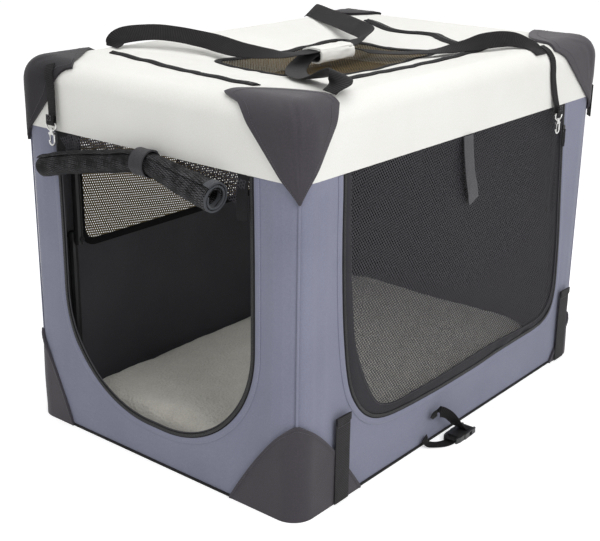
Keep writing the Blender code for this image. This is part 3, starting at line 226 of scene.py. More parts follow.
def folded_net_material():
    """Layers of black net on each other: the yarn's pattern, with painted highlights at its peaks over
    painted shade in the holes, paler toward the loose right end.
    """
    finish = Finish("folded_net")
    flat = finish.flat()
    nets = []
    for turn, pitch in ((12, 0.0030), (-9, 0.0034)):
        lies = finish.node("Mapping", "Vector", {"Vector": flat, "Rotation": (0, 0, math.radians(turn))})
        down, over = (finish.bands(lies, axis, pitch, {"Distortion": 0.6}) for axis in ("X", "Y"))
        nets.append(down.highest(over))
    both = nets[0] * nets[1]
    patchy = finish.noise(55.0, 4.0)
    across = finish.node("SeparateXYZ", "X", {0: finish.place})
    looser = finish.between(across, 0.92, 1.35, 0.0, 0.16)
    # Its dark end is painted shade in the holes between the layers, its light end painted highlights on the
    # yarn
    yarn = finish.shades(both * patchy * looser, (0.002, 0.002, 0.0025), (0.098, 0.096, 0.102), 0.24, 0.62)
    return finish.done({"Base Color": yarn, "Normal": finish.bump(both, 0.6, 0.0006),
                        "Roughness": finish.between(patchy, 0.50, 0.75), "Specular IOR Level": 0.1})


def strand_material(name, dark, light, rough=0.6, gloss=0.3):
    """The net's coated yarn and the sewing thread."""
    finish = Finish(name)
    speck = finish.noise(260.0, 3.0)
    return finish.done({"Base Color": finish.shades(speck, dark, light),
                        "Normal": finish.bump(speck, 0.5, 0.0003),
                        "Roughness": finish.between(speck, rough - 0.15, rough + 0.15),
                        "Specular IOR Level": gloss})


def hard_material(name, dark, light, rough, grain, metallic=0.0, depth=0.0002):
    """Painted, plated or moulded surface: fine grain and uneven gloss."""
    finish = Finish(name)
    smudge, pits = finish.noise(38.0, 5.0, Roughness=0.6), finish.noise(grain, 3.0)
    return finish.done({"Base Color": finish.shades(smudge, dark, light),
                        "Normal": finish.bump(pits, 0.35, depth),
                        "Roughness": finish.between(smudge, rough - 0.08, rough + 0.1, 0.3, 0.7),
                        "Metallic": metallic})


def fleece_material():
    """Short curled pile with tufts that catch the light."""
    finish = Finish("fleece")
    curls = finish.node("TexVoronoi", "Distance", {"Vector": finish.place, "Scale": 210.0, "Randomness": 1.0})
    broad, fine = finish.noise(14.0, 6.0, Roughness=0.7), finish.noise(330.0, 4.0)
    tufts = finish.bump(fine, 0.6, 0.001, {"Normal": finish.bump(curls, 0.8, 0.0022)})
    pile = finish.shades((broad + fine) * 0.5, (0.66, 0.635, 0.56), (0.86, 0.835, 0.76), 0.35, 0.65)
    return finish.done({"Base Color": pile, "Normal": tufts, "Roughness": finish.between(fine, 0.88, 1.0),
                        "Sheen Weight": 0.6, "Sheen Roughness": 0.6})


GREY = cloth_material("grey_cloth", (0.180, 0.188, 0.258), (0.236, 0.245, 0.326), 0.80, 0.00055)
CREAM = cloth_material("cream_cloth", (0.800, 0.794, 0.755), (0.865, 0.862, 0.830), 0.82, 0.00055, sheen=0.05)
BLACK = cloth_material("black_cloth", (0.033, 0.029, 0.036), (0.060, 0.053, 0.063), 0.72, 0.00060, gloss=0.25)
# The black cloth again, darker: painted shade for the two left upper patches, whose side faces away from the
# lamps
SHADED_BLACK = cloth_material("black_cloth_left", (0.011, 0.010, 0.012), (0.021, 0.018, 0.022), 0.78, 0.00060,
                            gloss=0.15)
LINING = cloth_material("lining", (0.060, 0.059, 0.068), (0.088, 0.087, 0.098), 0.85, 0.00060)
BINDING = cloth_material("binding", (0.006, 0.0055, 0.0065), (0.017, 0.016, 0.018), 0.80, 0.00070, relief=0.5,
                         sheen=0.03, gloss=0.15)
PANEL = cloth_material("door_border", (0.018, 0.017, 0.021), (0.038, 0.036, 0.042), 0.82, 0.00070, relief=0.4,
                       sheen=0.05, gloss=0.15)
TIE = cloth_material("tie_tape", (0.053, 0.052, 0.058), (0.081, 0.080, 0.088), 0.85, 0.00120, relief=0.6)
ROLL_BAND = cloth_material("roll_band", (0.026, 0.025, 0.029), (0.044, 0.042, 0.047), 0.85, 0.00120,
                           relief=0.6, gloss=0.2)
WEBBING = webbing_material("webbing", (0.006, 0.0055, 0.006), (0.024, 0.022, 0.023))
TAB_WEBBING = webbing_material("tab_webbing", (0.013, 0.012, 0.013), (0.047, 0.044, 0.047))
NET = strand_material("net_yarn", (0.019, 0.018, 0.022), (0.042, 0.039, 0.047))
NET_WARM = strand_material("warm_net_yarn", (0.094, 0.066, 0.030), (0.164, 0.120, 0.056), 0.7, 0.12)
NET_BROWN = strand_material("brown_net_yarn", (0.135, 0.102, 0.050), (0.225, 0.174, 0.092), 0.7, 0.12)
ROLL_NET = folded_net_material()
EDGE_TAPE = cloth_material("edge_tape", (0.038, 0.042, 0.049), (0.066, 0.071, 0.081), 0.70, 0.00090,
                           relief=0.6)
THREAD = strand_material("thread", (0.075, 0.072, 0.080), (0.120, 0.115, 0.125), 0.55)
GREY_THREAD = strand_material("grey_thread", (0.245, 0.255, 0.310), (0.330, 0.340, 0.400), 0.6)
TEETH = hard_material("zip_teeth", (0.012, 0.012, 0.013), (0.030, 0.030, 0.032), 0.38, 900.0)
STEEL = hard_material("powder_coat", (0.020, 0.020, 0.022), (0.034, 0.034, 0.037), 0.42, 1500.0, 0.4)
NICKEL = hard_material("nickel", (0.52, 0.52, 0.51), (0.70, 0.70, 0.69), 0.24, 800.0, 1.0, 0.0001)
PLASTIC = hard_material("acetal", (0.012, 0.012, 0.013), (0.026, 0.026, 0.028), 0.42, 1200.0)
BOARD = hard_material("pressed_board", (0.085, 0.078, 0.070), (0.150, 0.138, 0.122), 0.8, 300.0)
FLEECE = fleece_material()


# Mesh helpers

def mesh_piece(name, points, faces, finishes, flat=None, which=None):
    """A smooth mesh object. flat is one (u, v) in metres per face corner, which one material per face."""
    mesh = bpy.data.meshes.new(name)
    mesh.from_pydata([tuple(p) for p in points], [], faces)
    for finish in finishes:
        mesh.materials.append(finish)
    if which:
        mesh.polygons.foreach_set("material_index", which)
    layer = mesh.uv_layers.new(name="flat")
    if flat:
        layer.data.foreach_set("uv", [c for pair in flat for c in pair])
    mesh.update()
    made = bpy.data.objects.new(name, mesh)
    bpy.context.scene.collection.objects.link(made)
    mesh.shade_smooth()
    return made


def shell(name, outer, inner, flat, finish, back=None, closed=False, sharp=50):
    """Two matching grids of points closed into one thin solid. Closed joins the last column to the first."""
    rows, cols = len(outer), len(outer[0])
    points = [p for row in outer for p in row] + [p for row in inner for p in row]
    spans = cols if closed else cols - 1
    faces, uv, which = [], [], []

    def corner(skin, i, j):
        return (skin * rows + i) * cols + j % cols

    for skin in (0, 1):
        for i in range(rows - 1):
            for j in range(spans):
                cells = [(i, j), (i, j + 1), (i + 1, j + 1), (i + 1, j)]
                if skin:
                    cells.reverse()
                faces.append([corner(skin, a, b) for a, b in cells])
                uv += [flat(a, b) for a, b in cells]
                which.append(skin if back else 0)
    for i in (0, rows - 1):
        for j in range(spans):
            cells = [(0, i, j), (1, i, j), (1, i, j + 1), (0, i, j + 1)]
            if i:
                cells.reverse()
            faces.append([corner(*cell) for cell in cells])
            uv += [flat(a, b) for _, a, b in cells]
            which.append(0)
    if not closed:
        for j in (0, cols - 1):
            for i in range(rows - 1):
                cells = [(0, i + 1, j), (1, i + 1, j), (1, i, j), (0, i, j)]
                if j:
                    cells.reverse()
                faces.append([corner(*cell) for cell in cells])
                uv += [flat(a, b) for _, a, b in cells]
                which.append(0)
    made = mesh_piece(name, points, faces, [finish, back] if back else [finish], uv, which)
    made.data.set_sharp_from_angle(angle=math.radians(sharp))
    return made


def evenly(path, count, closed):
    """Exactly count points, evenly apart, along a path of 2D or 3D points, its own ends kept."""
    points = [Vector(p) for p in path]
    if closed:
        points.append(points[0])
    lengths = [(b - a).length for a, b in zip(points, points[1:])]
    total = sum(lengths)
    spans = count if closed else count - 1
    found, reached, at = [], 0.0, 0
    for k in range(count):
        wanted = min(total * k / spans, total - 1e-9)
        while reached + lengths[at] < wanted and at < len(lengths) - 1:
            reached += lengths[at]
            at += 1
        share = (wanted - reached) / max(lengths[at], 1e-9)
        found.append(points[at].lerp(points[at + 1], min(max(share, 0.0), 1.0)))
    return found


def spaced(path, step, closed=False):
    """Points about step apart along a path."""
    points = [Vector(p) for p in path]
    line = points + points[:1] if closed else points
    total = sum((b - a).length for a, b in zip(line, line[1:]))
    spans = max(2, round(total / step))
    return evenly(points, spans if closed else spans + 1, closed)


def smooth_route(points, steps):
    """A Catmull-Rom line through points."""
    points = [Vector(p) for p in points]
    before, after = 2 * points[0] - points[1], 2 * points[-1] - points[-2]
    knots = [before, *points, after]
    route = []
    for i in range(1, len(knots) - 2):
        p0, p1, p2, p3 = knots[i - 1:i + 3]
        for k in range(steps):
            t = k / steps
            route.append(0.5 * (2 * p1 + (p2 - p0) * t + (2 * p0 - 5 * p1 + 4 * p2 - p3) * t * t
                                + (3 * p1 - p0 - 3 * p2 + p3) * t ** 3))
    route.append(points[-1])
    return route


def headings(route):
    """Unit directions along a route, one per point."""
    ends = [route[0], *route, route[-1]]
    return [(ends[i + 2] - ends[i]).normalized() for i in range(len(route))]


def ripple(a, b, c=0.0):
    """Smooth wandering value from -1 to 1."""
    return noise.noise(Vector((a, b, c)))


def ease(x):
    """Goes smoothly from 0 to 1 as x does."""
    x = min(max(x, 0.0), 1.0)
    return x * x * (3 - 2 * x)


def applied(piece):
    """Gives the piece the plain mesh that its modifiers make, and removes them."""
    graph = bpy.context.evaluated_depsgraph_get()
    mesh = bpy.data.meshes.new_from_object(piece.evaluated_get(graph))
    piece.modifiers.clear()
    piece.data = mesh


# Rows of small pieces, made with Geometry Nodes

class Recipe(Nodes):
    """Geometry Nodes with named inputs, which turn a mesh of loose points or edges into a piece."""

    def __init__(self, name, **kinds):
        super().__init__(bpy.data.node_groups.new(name, "GeometryNodeTree"), "")
        self.sockets = {}
        for label, kind in {"Mesh": "Geometry", **kinds, "Finish": "Material"}.items():
            made = self.tree.interface.new_socket(label, in_out="INPUT", socket_type="NodeSocket" + kind)
            self.sockets[label] = made.identifier
        self.tree.interface.new_socket("Piece", in_out="OUTPUT", socket_type="NodeSocketGeometry")
        entry = self.tree.nodes.new("NodeGroupInput")
        self.given = {label: Value(self, entry.outputs[label]) for label in self.sockets}

    def stored(self, label):
        """A vector kept on every point."""
        return self.node("GeometryNodeInputNamedAttribute", "Attribute", {"Name": label},
                         data_type="FLOAT_VECTOR")

    def done(self, geometry):
        """Ends the tree: real mesh, in its material."""
        real = self.node("GeometryNodeRealizeInstances", "Geometry", {"Geometry": geometry})
        dressed = self.node("GeometryNodeSetMaterial", "Geometry",
                            {"Geometry": real, "Material": self.given["Finish"]})
        self.wire(dressed, self.tree.nodes.new("NodeGroupOutput").inputs["Piece"])
        return self

    def make(self, name, points, edges, vectors, finish, **values):
        """A plain mesh piece. vectors holds the ones to keep on every point."""
        mesh = bpy.data.meshes.new(name)
        mesh.from_pydata([tuple(p) for p in points], edges, [])
        for label, column in vectors.items():
            layer = mesh.attributes.new(label, "FLOAT_VECTOR", "POINT")
            layer.data.foreach_set("vector", [c for vector in column for c in vector])
        piece = bpy.data.objects.new(name, mesh)
        bpy.context.scene.collection.objects.link(piece)
        recipe = piece.modifiers.new("recipe", "NODES")
        recipe.node_group = self.tree
        for label, value in {"Finish": finish, **values}.items():
            recipe[self.sockets[label]] = value
        applied(piece)
        for label in vectors:
            piece.data.attributes.remove(piece.data.attributes[label])
        piece.data.materials.clear()
        piece.data.materials.append(finish)
        piece.data.uv_layers.new(name="flat")
        piece.data.shade_smooth()
        return piece


def unit_brick():
    """A brick one metre each way, narrower at its ends and rounded on top. It is not part of the scene."""
    points, faces = [], []
    for reach, half in ((-0.5, 0.275), (-0.3, 0.5), (0.3, 0.5), (0.5, 0.275)):
        points += [(reach, a * half, b * half)
                   for a, b in ((-1, -1), (1, -1), (1, 0.6), (0.5, 1), (-0.5, 1), (-1, 0.6))]
    for ring in (0, 6, 12):
        faces += [(ring + j, ring + (j + 1) % 6, ring + 6 + (j + 1) % 6, ring + 6 + j) for j in range(6)]
    faces += [tuple(reversed(range(6))), tuple(range(18, 24))]
    mesh = bpy.data.meshes.new("brick")
    mesh.from_pydata(points, [], faces)
    return bpy.data.objects.new("brick", mesh)


def brick_recipe():
    """A brick on every point, its length along the row and its top away from the cloth."""
    recipe = Recipe("bricks", Brick="Object", Length="Float", Width="Float", Height="Float")
    given = recipe.given
    turn = recipe.node("FunctionNodeAxesToRotation", "Rotation",
                       {"Primary Axis": recipe.stored("along"), "Secondary Axis": recipe.stored("out")},
                       primary_axis="X", secondary_axis="Z")
    size = recipe.node("ShaderNodeCombineXYZ", "Vector",
                       {"X": given["Length"], "Y": given["Width"], "Z": given["Height"]})
    brick = recipe.node("GeometryNodeObjectInfo", "Geometry", {"Object": given["Brick"]})
    row = recipe.node("GeometryNodeInstanceOnPoints", "Instances",
                      {"Points": given["Mesh"], "Instance": brick, "Rotation": turn, "Scale": size})
    return recipe.done(row)


def strand_recipe():
    """Every line of edges drawn out sideways into a flat strand."""
    recipe = Recipe("strands", Width="Float")
    given = recipe.given
    drawn = recipe.node("GeometryNodeExtrudeMesh", "Mesh", {"Mesh": given["Mesh"], "Offset Scale": 0.0},
                        mode="EDGES")
    far_side = Value(recipe, drawn.socket.node.outputs["Top"])
    offset = recipe.node("ShaderNodeVectorMath", "Vector",
                         {"Vector": recipe.stored("across"), "Scale": given["Width"]}, operation="SCALE")
    strands = recipe.node("GeometryNodeSetPosition", "Geometry",
                          {"Geometry": drawn, "Selection": far_side, "Offset": offset})
    return recipe.done(strands)


BRICK = unit_brick()
BRICKS, STRANDS = brick_recipe(), strand_recipe()


def studs(name, places, size, finish):
    """Many small rounded bricks in one mesh. places are (middle, along, out)."""
    middles, along, out = zip(*places)
    length, width, height = size
    return BRICKS.make(name, middles, [], {"along": along, "out": out}, finish, Brick=BRICK, Length=length,
                       Width=width, Height=height)


# How the pieces ride on the frame

def on_base(piece, *nodes):
    """A piece of the walls: it stands on the floor and rides with the base."""
    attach(piece, "base")
    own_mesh(piece)
    if nodes:
        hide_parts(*nodes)
    return piece


def on_roof(piece, *nodes):
    """A piece that comes down with the roof as the frame folds."""
    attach(piece, "top")
    if nodes:
        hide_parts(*nodes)
    return piece


def under_roof(piece, *nodes, level=SEAM_Z, keep=KEEP_HANGING):
    """A piece that hangs from the roof's seam and comes down with the roof as the frame folds. Its level and
    keep are not used.
    """
    on_roof(piece, *nodes)
    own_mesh(piece)
    return piece


# Places on the cover

def wall_place(side, along, up, lift=0.0):
    """A point of a wall: along runs round into its rounded corners, lift is how far it stands out."""
    half, out = ((HALF_W, HALF_L), (HALF_L, HALF_W))[side % 2]
    half, out = half - EDGE_R, out - EDGE_R
    turn = max(abs(along) - half, 0.0) / EDGE_R
    reach = EDGE_R + lift
    x = math.copysign(min(abs(along), half) + reach * math.sin(turn), along)
    y = -out - reach * math.cos(turn)
    for _ in range(side):
        x, y = -y, x
    return Vector((x, y, up))


def wall_reach(side):
    """How far a wall runs each way before the next wall's cloth begins."""
    return (HALF_W, HALF_L)[side % 2] - EDGE_R + HALF_ARC


def roof_sag(x, y):
    """How far the roof hangs below its edges."""
    a, b = min(abs(x) / HALF_W, 1.0), min(abs(y) / HALF_L, 1.0)
    return ROOF_SAG * ((1 - a * a) * (1 - b * b)) ** 2


def roof_fold(x, y):
    """Small folds of the roof cloth: pulled from the corners and slack between the handles' roots."""
    a, b = abs(x) / HALF_W, abs(y) / HALF_L
    open_part = (1 - a ** 4) * (1 - b ** 4)
    diagonal = ripple(9 * (a - b) + 3 * math.copysign(1, x), 2.0 * (a + b), 5 * math.copysign(1, y))
    along = ripple(3.0 * x / HALF_W, 11.0 * y / HALF_L, 2.0)
    return 0.0022 * open_part * (diagonal * 0.9 + along * 0.8)


def roof_place(x, y, lift=0.0):
    """A point of the roof's cloth."""
    return Vector((x, y, HEIGHT - roof_sag(x, y) + roof_fold(x, y) + lift))


def on_cover(point, lift):
    """The nearest point of the cover's outside, lifted off it."""
    core = Vector((max(-HALF_W + EDGE_R, min(HALF_W - EDGE_R, point.x)),
                   max(-HALF_L + EDGE_R, min(HALF_L - EDGE_R, point.y)),
                   max(EDGE_R, min(HEIGHT - EDGE_R, point.z))))
    out = (point - core).normalized()
    found = core + out * (EDGE_R + lift)
    found.z -= roof_sag(found.x, found.y) * max(0.0, out.z)
    return found


def front_door(inset=0.0, top=SEAM_Z):
    """The front doorway's edge, moved inward by inset, from its upper left round to its upper right."""
    low, high, sill, radius = inset - DOOR_HALF, DOOR_HALF - inset, DOOR_SILL + inset, DOOR_R - inset
    path = [(low, top)]
    for x, start in ((low + radius, 180), (high - radius, 270)):
        for k in range(25):
            turn = math.radians(start + 90 * k / 24)
            path.append((x + radius * math.cos(turn), sill + radius + radius * math.sin(turn)))
    return path + [(high, top)]


# The side door's zip line and its net's edge, (along, up): the slack wall lets them lean and wander
SIDE_ZIP_LINE = ((-0.3490, 0.5400), (-0.3465, 0.4200), (-0.3408, 0.3280), (-0.3350, 0.2720),
                 (-0.3275, 0.2230), (-0.3170, 0.1850), (-0.3010, 0.1560), (-0.2785, 0.1310),
                 (-0.2500, 0.1130), (-0.2150, 0.1030), (-0.1650, 0.0980), (-0.0850, 0.0950),
                 (-0.0150, 0.0940), (0.0740, 0.0950), (0.1360, 0.0985), (0.2180, 0.0995), (0.2850, 0.1000),
                 (0.3240, 0.1070), (0.3460, 0.1250), (0.3560, 0.1520), (0.3580, 0.1900), (0.3530, 0.2700),
                 (0.3450, 0.3500), (0.3380, 0.4200), (0.3305, 0.4830), (0.3260, 0.5400))
SIDE_NET_EDGE = ((-0.3335, 0.5400), (-0.3280, 0.4200), (-0.3190, 0.3280), (-0.3105, 0.2680),
                 (-0.2990, 0.2340), (-0.2830, 0.1990), (-0.2640, 0.1640), (-0.2430, 0.1370),
                 (-0.2190, 0.1240), (-0.1860, 0.1170), (-0.1410, 0.1170), (-0.0870, 0.1160),
                 (-0.0180, 0.1170), (0.0550, 0.1195), (0.1330, 0.1205), (0.2150, 0.1170), (0.2750, 0.1150),
                 (0.3060, 0.1190), (0.3280, 0.1320), (0.3420, 0.1560), (0.3470, 0.1900), (0.3440, 0.2700),
                 (0.3370, 0.3500), (0.3310, 0.4200), (0.3240, 0.4830), (0.3200, 0.5400))


def through(points, top):
    """A smooth flat path through points, cut off at top."""
    return [Vector((p.x, min(p.y, top))) for p in smooth_route([(x, y, 0) for x, y in points], 5)]


def side_door(inset=0.0, top=SEAM_Z):
    """The side door's zip line, moved inward by inset."""
    path = through(SIDE_ZIP_LINE, SEAM_Z)
    moved = [p + Vector((-way.y, way.x)) * inset for p, way in zip(path, headings(path))]
    for p in moved:
        p.y = min(p.y, top)
    moved[0].y = moved[-1].y = top
    return moved


def side_border(share, top):
    """A line of the side door's border, from beside the zip at 0 to the net's edge at 1."""
    zip_side = evenly(side_door(0.0030, top), 300, False)
    net_side = evenly(through(SIDE_NET_EDGE, top), 300, False)
    return [a.lerp(b, share) for a, b in zip(zip_side, net_side)]


def hull(points):
    """The convex outline of flat points, anticlockwise."""
    ordered = sorted((p[0], p[1]) for p in points)
    halves = []
    for run in (ordered, ordered[::-1]):
        half = []
        for p in run:
            while len(half) > 1:
                (ax, ay), (bx, by) = half[-2:]
                if (bx - ax) * (p[1] - ay) - (by - ay) * (p[0] - ax) > 1e-12:
                    break
                half.pop()
            half.append(p)
        halves += half[:-1]
    return halves


def window(half, inset=0.0):
    """A wall window's rounded outline, from its lower right corner round."""
    low, high, radius = WINDOW_SILL + inset, WINDOW_HEAD - inset, max(WINDOW_R - inset, 0.004)
    half -= inset
    path = []
    for cx, cz, start in ((half - radius, low + radius, 270), (half - radius, high - radius, 0),
                          (-half + radius, high - radius, 90), (-half + radius, low + radius, 180)):
        for k in range(9):
            turn = math.radians(start + 90 * k / 8)
            path.append((cx + radius * math.cos(turn), cz + radius * math.sin(turn)))
    return path


def cast_out(centre, point, reach, top):
    """Where the ray from centre through point leaves the wall's flat rectangle."""
    dx, dz = point[0] - centre[0], point[1] - centre[1]
    ways = []
    if abs(dx) > 1e-9:
        ways.append((math.copysign(reach, dx) - centre[0]) / dx)
    if dz < -1e-9:
        ways.append(-centre[1] / dz)
    if dz > 1e-9:
        ways.append((top - centre[1]) / dz)
    far = min(w for w in ways if w > 0)
    return (centre[0] + dx * far, centre[1] + dz * far)


# Walls

# Upright folds of each wall: place along it, half width and depth in shares of the pleats' depth
WALL_FOLDS = (((0.2520, 0.0045, 0.8), (0.2800, 0.0040, -0.7), (-0.2600, 0.0060, 0.6)),
              ((-0.4050, 0.0050, -0.9), (-0.3900, 0.0035, 0.8), (0.4080, 0.0060, 0.7)),
              ((-0.2500, 0.0060, 0.6), (0.2500, 0.0060, -0.6)),
              ((-0.3980, 0.0060, 0.6), (0.3980, 0.0060, -0.6)))


def wall_ease(side, along, up):
    """How far the wall's slack cloth stands in or out of its plane."""
    reach = wall_reach(side)
    seed = side * 7.3
    edge = ease((reach - abs(along)) / 0.05)
    rise = ease(up / 0.04) * ease((SEAM_Z - up) / 0.03)
    broad = ripple(along * 5.0 + seed, up * 4.0, seed)
    pleat = ripple(along * 34.0 + seed, up * 2.2, 1.0) * ease((abs(along) - reach + 0.16) / 0.05)
    for place, wide, deep in WALL_FOLDS[side]:
        drift = place + 0.004 * ripple(up * 3, place * 50, 2.0)
        pleat += deep * math.exp(-((along - drift) / wide) ** 2)
    hollow = -0.0016 * math.sin(math.pi * min(max(up / SEAM_Z, 0), 1))
    return -0.0010 + rise * (hollow + 0.0016 * broad * edge + 0.0021 * pleat)


def wall_grid(inner_path, outer_path, rows):
    """Flat points (along, up) from an inner path to an outer one."""
    grid = []
    for i in range(rows + 1):
        share = i / rows
        grid.append([(a[0] + (b[0] - a[0]) * share, a[1] + (b[1] - a[1]) * share)
                     for a, b in zip(inner_path, outer_path)])
    return grid


def cloth_on_wall(name, side, grid, closed, lift=0.0, thick=CLOTH_T, finish=GREY, back=LINING):
    """Cloth that lies on a wall's slack surface, over a grid of flat points (along, up)."""
    def place(point, extra):
        along, up = point
        return wall_place(side, along, up, wall_ease(side, along, up) + extra)

    outer = [[place(p, lift) for p in row] for row in grid]
    inner = [[place(p, lift - thick) for p in row] for row in grid]

    def flat(i, j):
        return grid[i][j % len(grid[0])]

    return shell(name, outer, inner, flat, finish, back, closed)


def add_corner_rays(path, centre, reach, closed):
    """Moves points of the path to where the rays to the wall's corners cross it, so that corners are met."""
    corners = [(-reach, 0.0), (reach, 0.0)]
    if closed:
        corners += [(reach, SEAM_Z), (-reach, SEAM_Z)]
    points = [Vector(p) for p in path]
    turns = [math.atan2(p.y - centre[1], p.x - centre[0]) for p in points]
    for corner in corners:
        wanted = math.atan2(corner[1] - centre[1], corner[0] - centre[0])
        gaps = [abs((t - wanted + math.pi) % (2 * math.pi) - math.pi) for t in turns]
        nearest = gaps.index(min(gaps))
        way = Vector((math.cos(wanted), math.sin(wanted)))
        points[nearest] = Vector(centre) + way * (points[nearest] - Vector(centre)).length
    return points


def build_wall(name, side, opening, closed, rows, node):
    """A wall's cloth round its doorway or its closed window."""
    reach = wall_reach(side)
    middle = sum(p[0] for p in opening) / len(opening)
    centre = (middle if not closed else 0.0, SEAM_Z if not closed else (WINDOW_SILL + WINDOW_HEAD) / 2)
    inner_path = spaced(opening, 0.008, closed)
    inner_path = add_corner_rays(inner_path, centre, reach, closed)
    outer_path = [cast_out(centre, p, reach, SEAM_Z) for p in inner_path]
    if not closed:
        outer_path[0] = (-reach, SEAM_Z)
        outer_path[-1] = (reach, SEAM_Z)
    grid = wall_grid(inner_path, outer_path, rows)
    wall = cloth_on_wall(name, side, grid, closed)
    on_base(wall, node)


def build_walls():
    """The four walls, the rear one without an opening."""
    build_wall("front_wall_cloth", FRONT, front_door(), False, 14, "front_wall")
    build_wall("right_wall_cloth", RIGHT, side_door(), False, 14, "right_wall")
    build_wall("left_wall_cloth", LEFT, window(WINDOW_HALF), True, 14, "left_wall")
    reach = wall_reach(REAR)
    grid = [[(reach * (2 * j / 60 - 1), SEAM_Z * i / 50) for j in range(61)] for i in range(51)]
    rear = on_base(cloth_on_wall("rear_wall_cloth", REAR, grid, False), "rear_wall")


def band(name, side, outline, first, second, lift, thick, finish, closed=False, crown=0.0, columns=4,
         wave=None):
    """A tape that follows an opening between two insets of its outline, slightly crowned."""
    count = len(spaced(outline(first), 0.006, closed))
    low, high = (evenly(outline(inset), count, closed) for inset in (first, second))
    outer, inner, grid = [], [], []
    for i in range(columns + 1):
        share = i / columns
        row = [a.lerp(b, share) for a, b in zip(low, high)]
        rise = crown * (1 - (2 * share - 1) ** 2)
        grid.append(row)
        under = [wall_ease(side, p.x, p.y) + lift + (wave(p.x, p.y, share) if wave else 0.0) for p in row]
        outer.append([wall_place(side, p.x, p.y, level + thick + rise) for p, level in zip(row, under)])
        inner.append([wall_place(side, p.x, p.y, level) for p, level in zip(row, under)])

    def flat(i, j):
        p = grid[i][j % len(grid[0])]
        return (p.x, p.y)

    return shell(name, outer, inner, flat, finish, closed=closed)


def wall_line(side, path, lift, step, closed=False):
    """Places along a flat path on a wall, as (middle, along, out)."""
    points = spaced(path, step, closed)
    found = []
    for i, p in enumerate(points):
        a, b = points[max(i - 1, 0)], points[min(i + 1, len(points) - 1)]
        middle = wall_place(side, p.x, p.y, wall_ease(side, p.x, p.y) + lift)
        along = (wall_place(side, b.x, b.y) - wall_place(side, a.x, a.y)).normalized()
        out = (wall_place(side, p.x, p.y, 0.01) - wall_place(side, p.x, p.y)).normalized()
        found.append((middle, along, out))
    return found


def stitching(name, places, finish=THREAD, ride=on_base):
    """A row of stitches."""
    ride(studs(name, places[1:-1], STITCH, finish))


def build_zips_on_walls():
    """The two door zips: tape, two rows of teeth, and a facing with its stitches."""
    for name, side, outline in (("front_zip", FRONT, front_door), ("side_zip", RIGHT, side_door)):
        top = SEAM_Z - 0.001

        def edge(inset):
            return outline(inset, top)

        on_base(band(f"{name}_tape", side, edge, -0.0040, 0.0042, 0.0002, 0.0008, BINDING, crown=0.0004))
        for row, inset in enumerate((-0.0007, 0.0015)):
            line = wall_line(side, edge(inset), 0.0016, TOOTH_STEP)
            on_base(studs(f"{name}_teeth_{row}", line[row:], WALL_TOOTH, TEETH))
        on_base(band(f"{name}_facing", side, edge, -0.0150, -0.0041, 0.0001, 0.0007, GREY, crown=0.0012))
        stitching(f"{name}_stitch", wall_line(side, edge(-0.0135), 0.0011, STITCH_STEP), GREY_THREAD)


def door_wave(along, up, share):
    """The door border's slack: it ripples along the sill toward the rear."""
    low = ease((0.22 - up) / 0.1)
    back = ease((along + 0.05) / 0.3)
    across = math.sin(math.pi * min(share + 0.15, 1))
    return low * (0.4 + back) * 0.0028 * ripple(along * 26, up * 10, 3.0) * across


# Height of the side zip's slider above the floor
PULL_TOP = 0.4980


def build_side_zip_pull():
    """The side zip's slider and its flat pull, on the zip line near the rear end."""
    line = [p for p in side_door(0.0, SEAM_Z - 0.001) if p.x > 0.2]
    at = min(line, key=lambda p: abs(p.y - PULL_TOP))
    middle = wall_place(RIGHT, at.x, at.y, wall_ease(RIGHT, at.x, at.y) + 0.0032)
    out, down, across = Vector((1, 0, 0)), Vector((0, 0, -1)), Vector((0, 1, 0))
    body = studs("side_zip_slider_body", [(middle, down, out)], (0.0095, 0.0068, 0.0042), TEETH)
    on_base(body, "side_zip_slider")
    route = [middle + out * (0.0022 + 0.0006 * ripple(k * 0.4, 3.0)) + down * (0.003 + 0.033 * k / 16)
             + across * (0.0012 * ripple(k * 0.2, 6.0)) for k in range(17)]
    pull = ribbon("side_zip_pull", route, [across] * len(route), 0.0062, 0.0016, BINDING, 6)
    on_base(pull)


def build_door_borders():
    """The side door's border, the doorway's lining and the left window's bindings."""
    top = SEAM_Z - 0.0008
    border = band("side_door_border", RIGHT, lambda share: side_border(share, top), 0.0, 1.0,
                  -0.0006, 0.0009, PANEL, crown=0.0010, columns=8, wave=door_wave)
    on_base(border)
    stitching("side_door_border_stitch", wall_line(RIGHT, side_border(0.87, top), 0.0012, STITCH_STEP))
    rim = band("front_doorway_lining", FRONT, lambda inset: front_door(inset, top), 0.0030, 0.0056,
               -0.0012, 0.0009, LINING)
    on_base(rim)
    for layer, lift in (("outer", 0.0001), ("inner", -CLOTH_T - 0.0010)):
        edge = band(f"left_window_{layer}_binding", LEFT, lambda inset: window(WINDOW_HALF, inset),
                    -0.0065, 0.0065, lift, 0.0009, BINDING, closed=True, crown=0.0005)
        on_base(edge)
    stitching("left_window_stitch", wall_line(LEFT, window(WINDOW_HALF, 0.0045), 0.0014, STITCH_STEP, True))


# Nets

# How far the three directions of strands lie over each other
STRAND_LIFT = 0.00016


def clip(polygon, start, way):
    """Where a line enters and leaves a convex polygon, as distances from start, or None."""
    near, far = -1e9, 1e9
    for a, b in zip(polygon, polygon[1:] + polygon[:1]):
        edge = b - a
        if edge.length < 1e-9:
            continue
        normal = Vector((-edge.y, edge.x)).normalized()
        speed, gap = normal.dot(way), normal.dot(a - start)
        if abs(speed) < 1e-9:
            if gap > 0:
                return None
        elif speed > 0:
            near = max(near, gap / speed)
        else:
            far = min(far, gap / speed)
    return (near, far) if far - near > 1e-4 else None


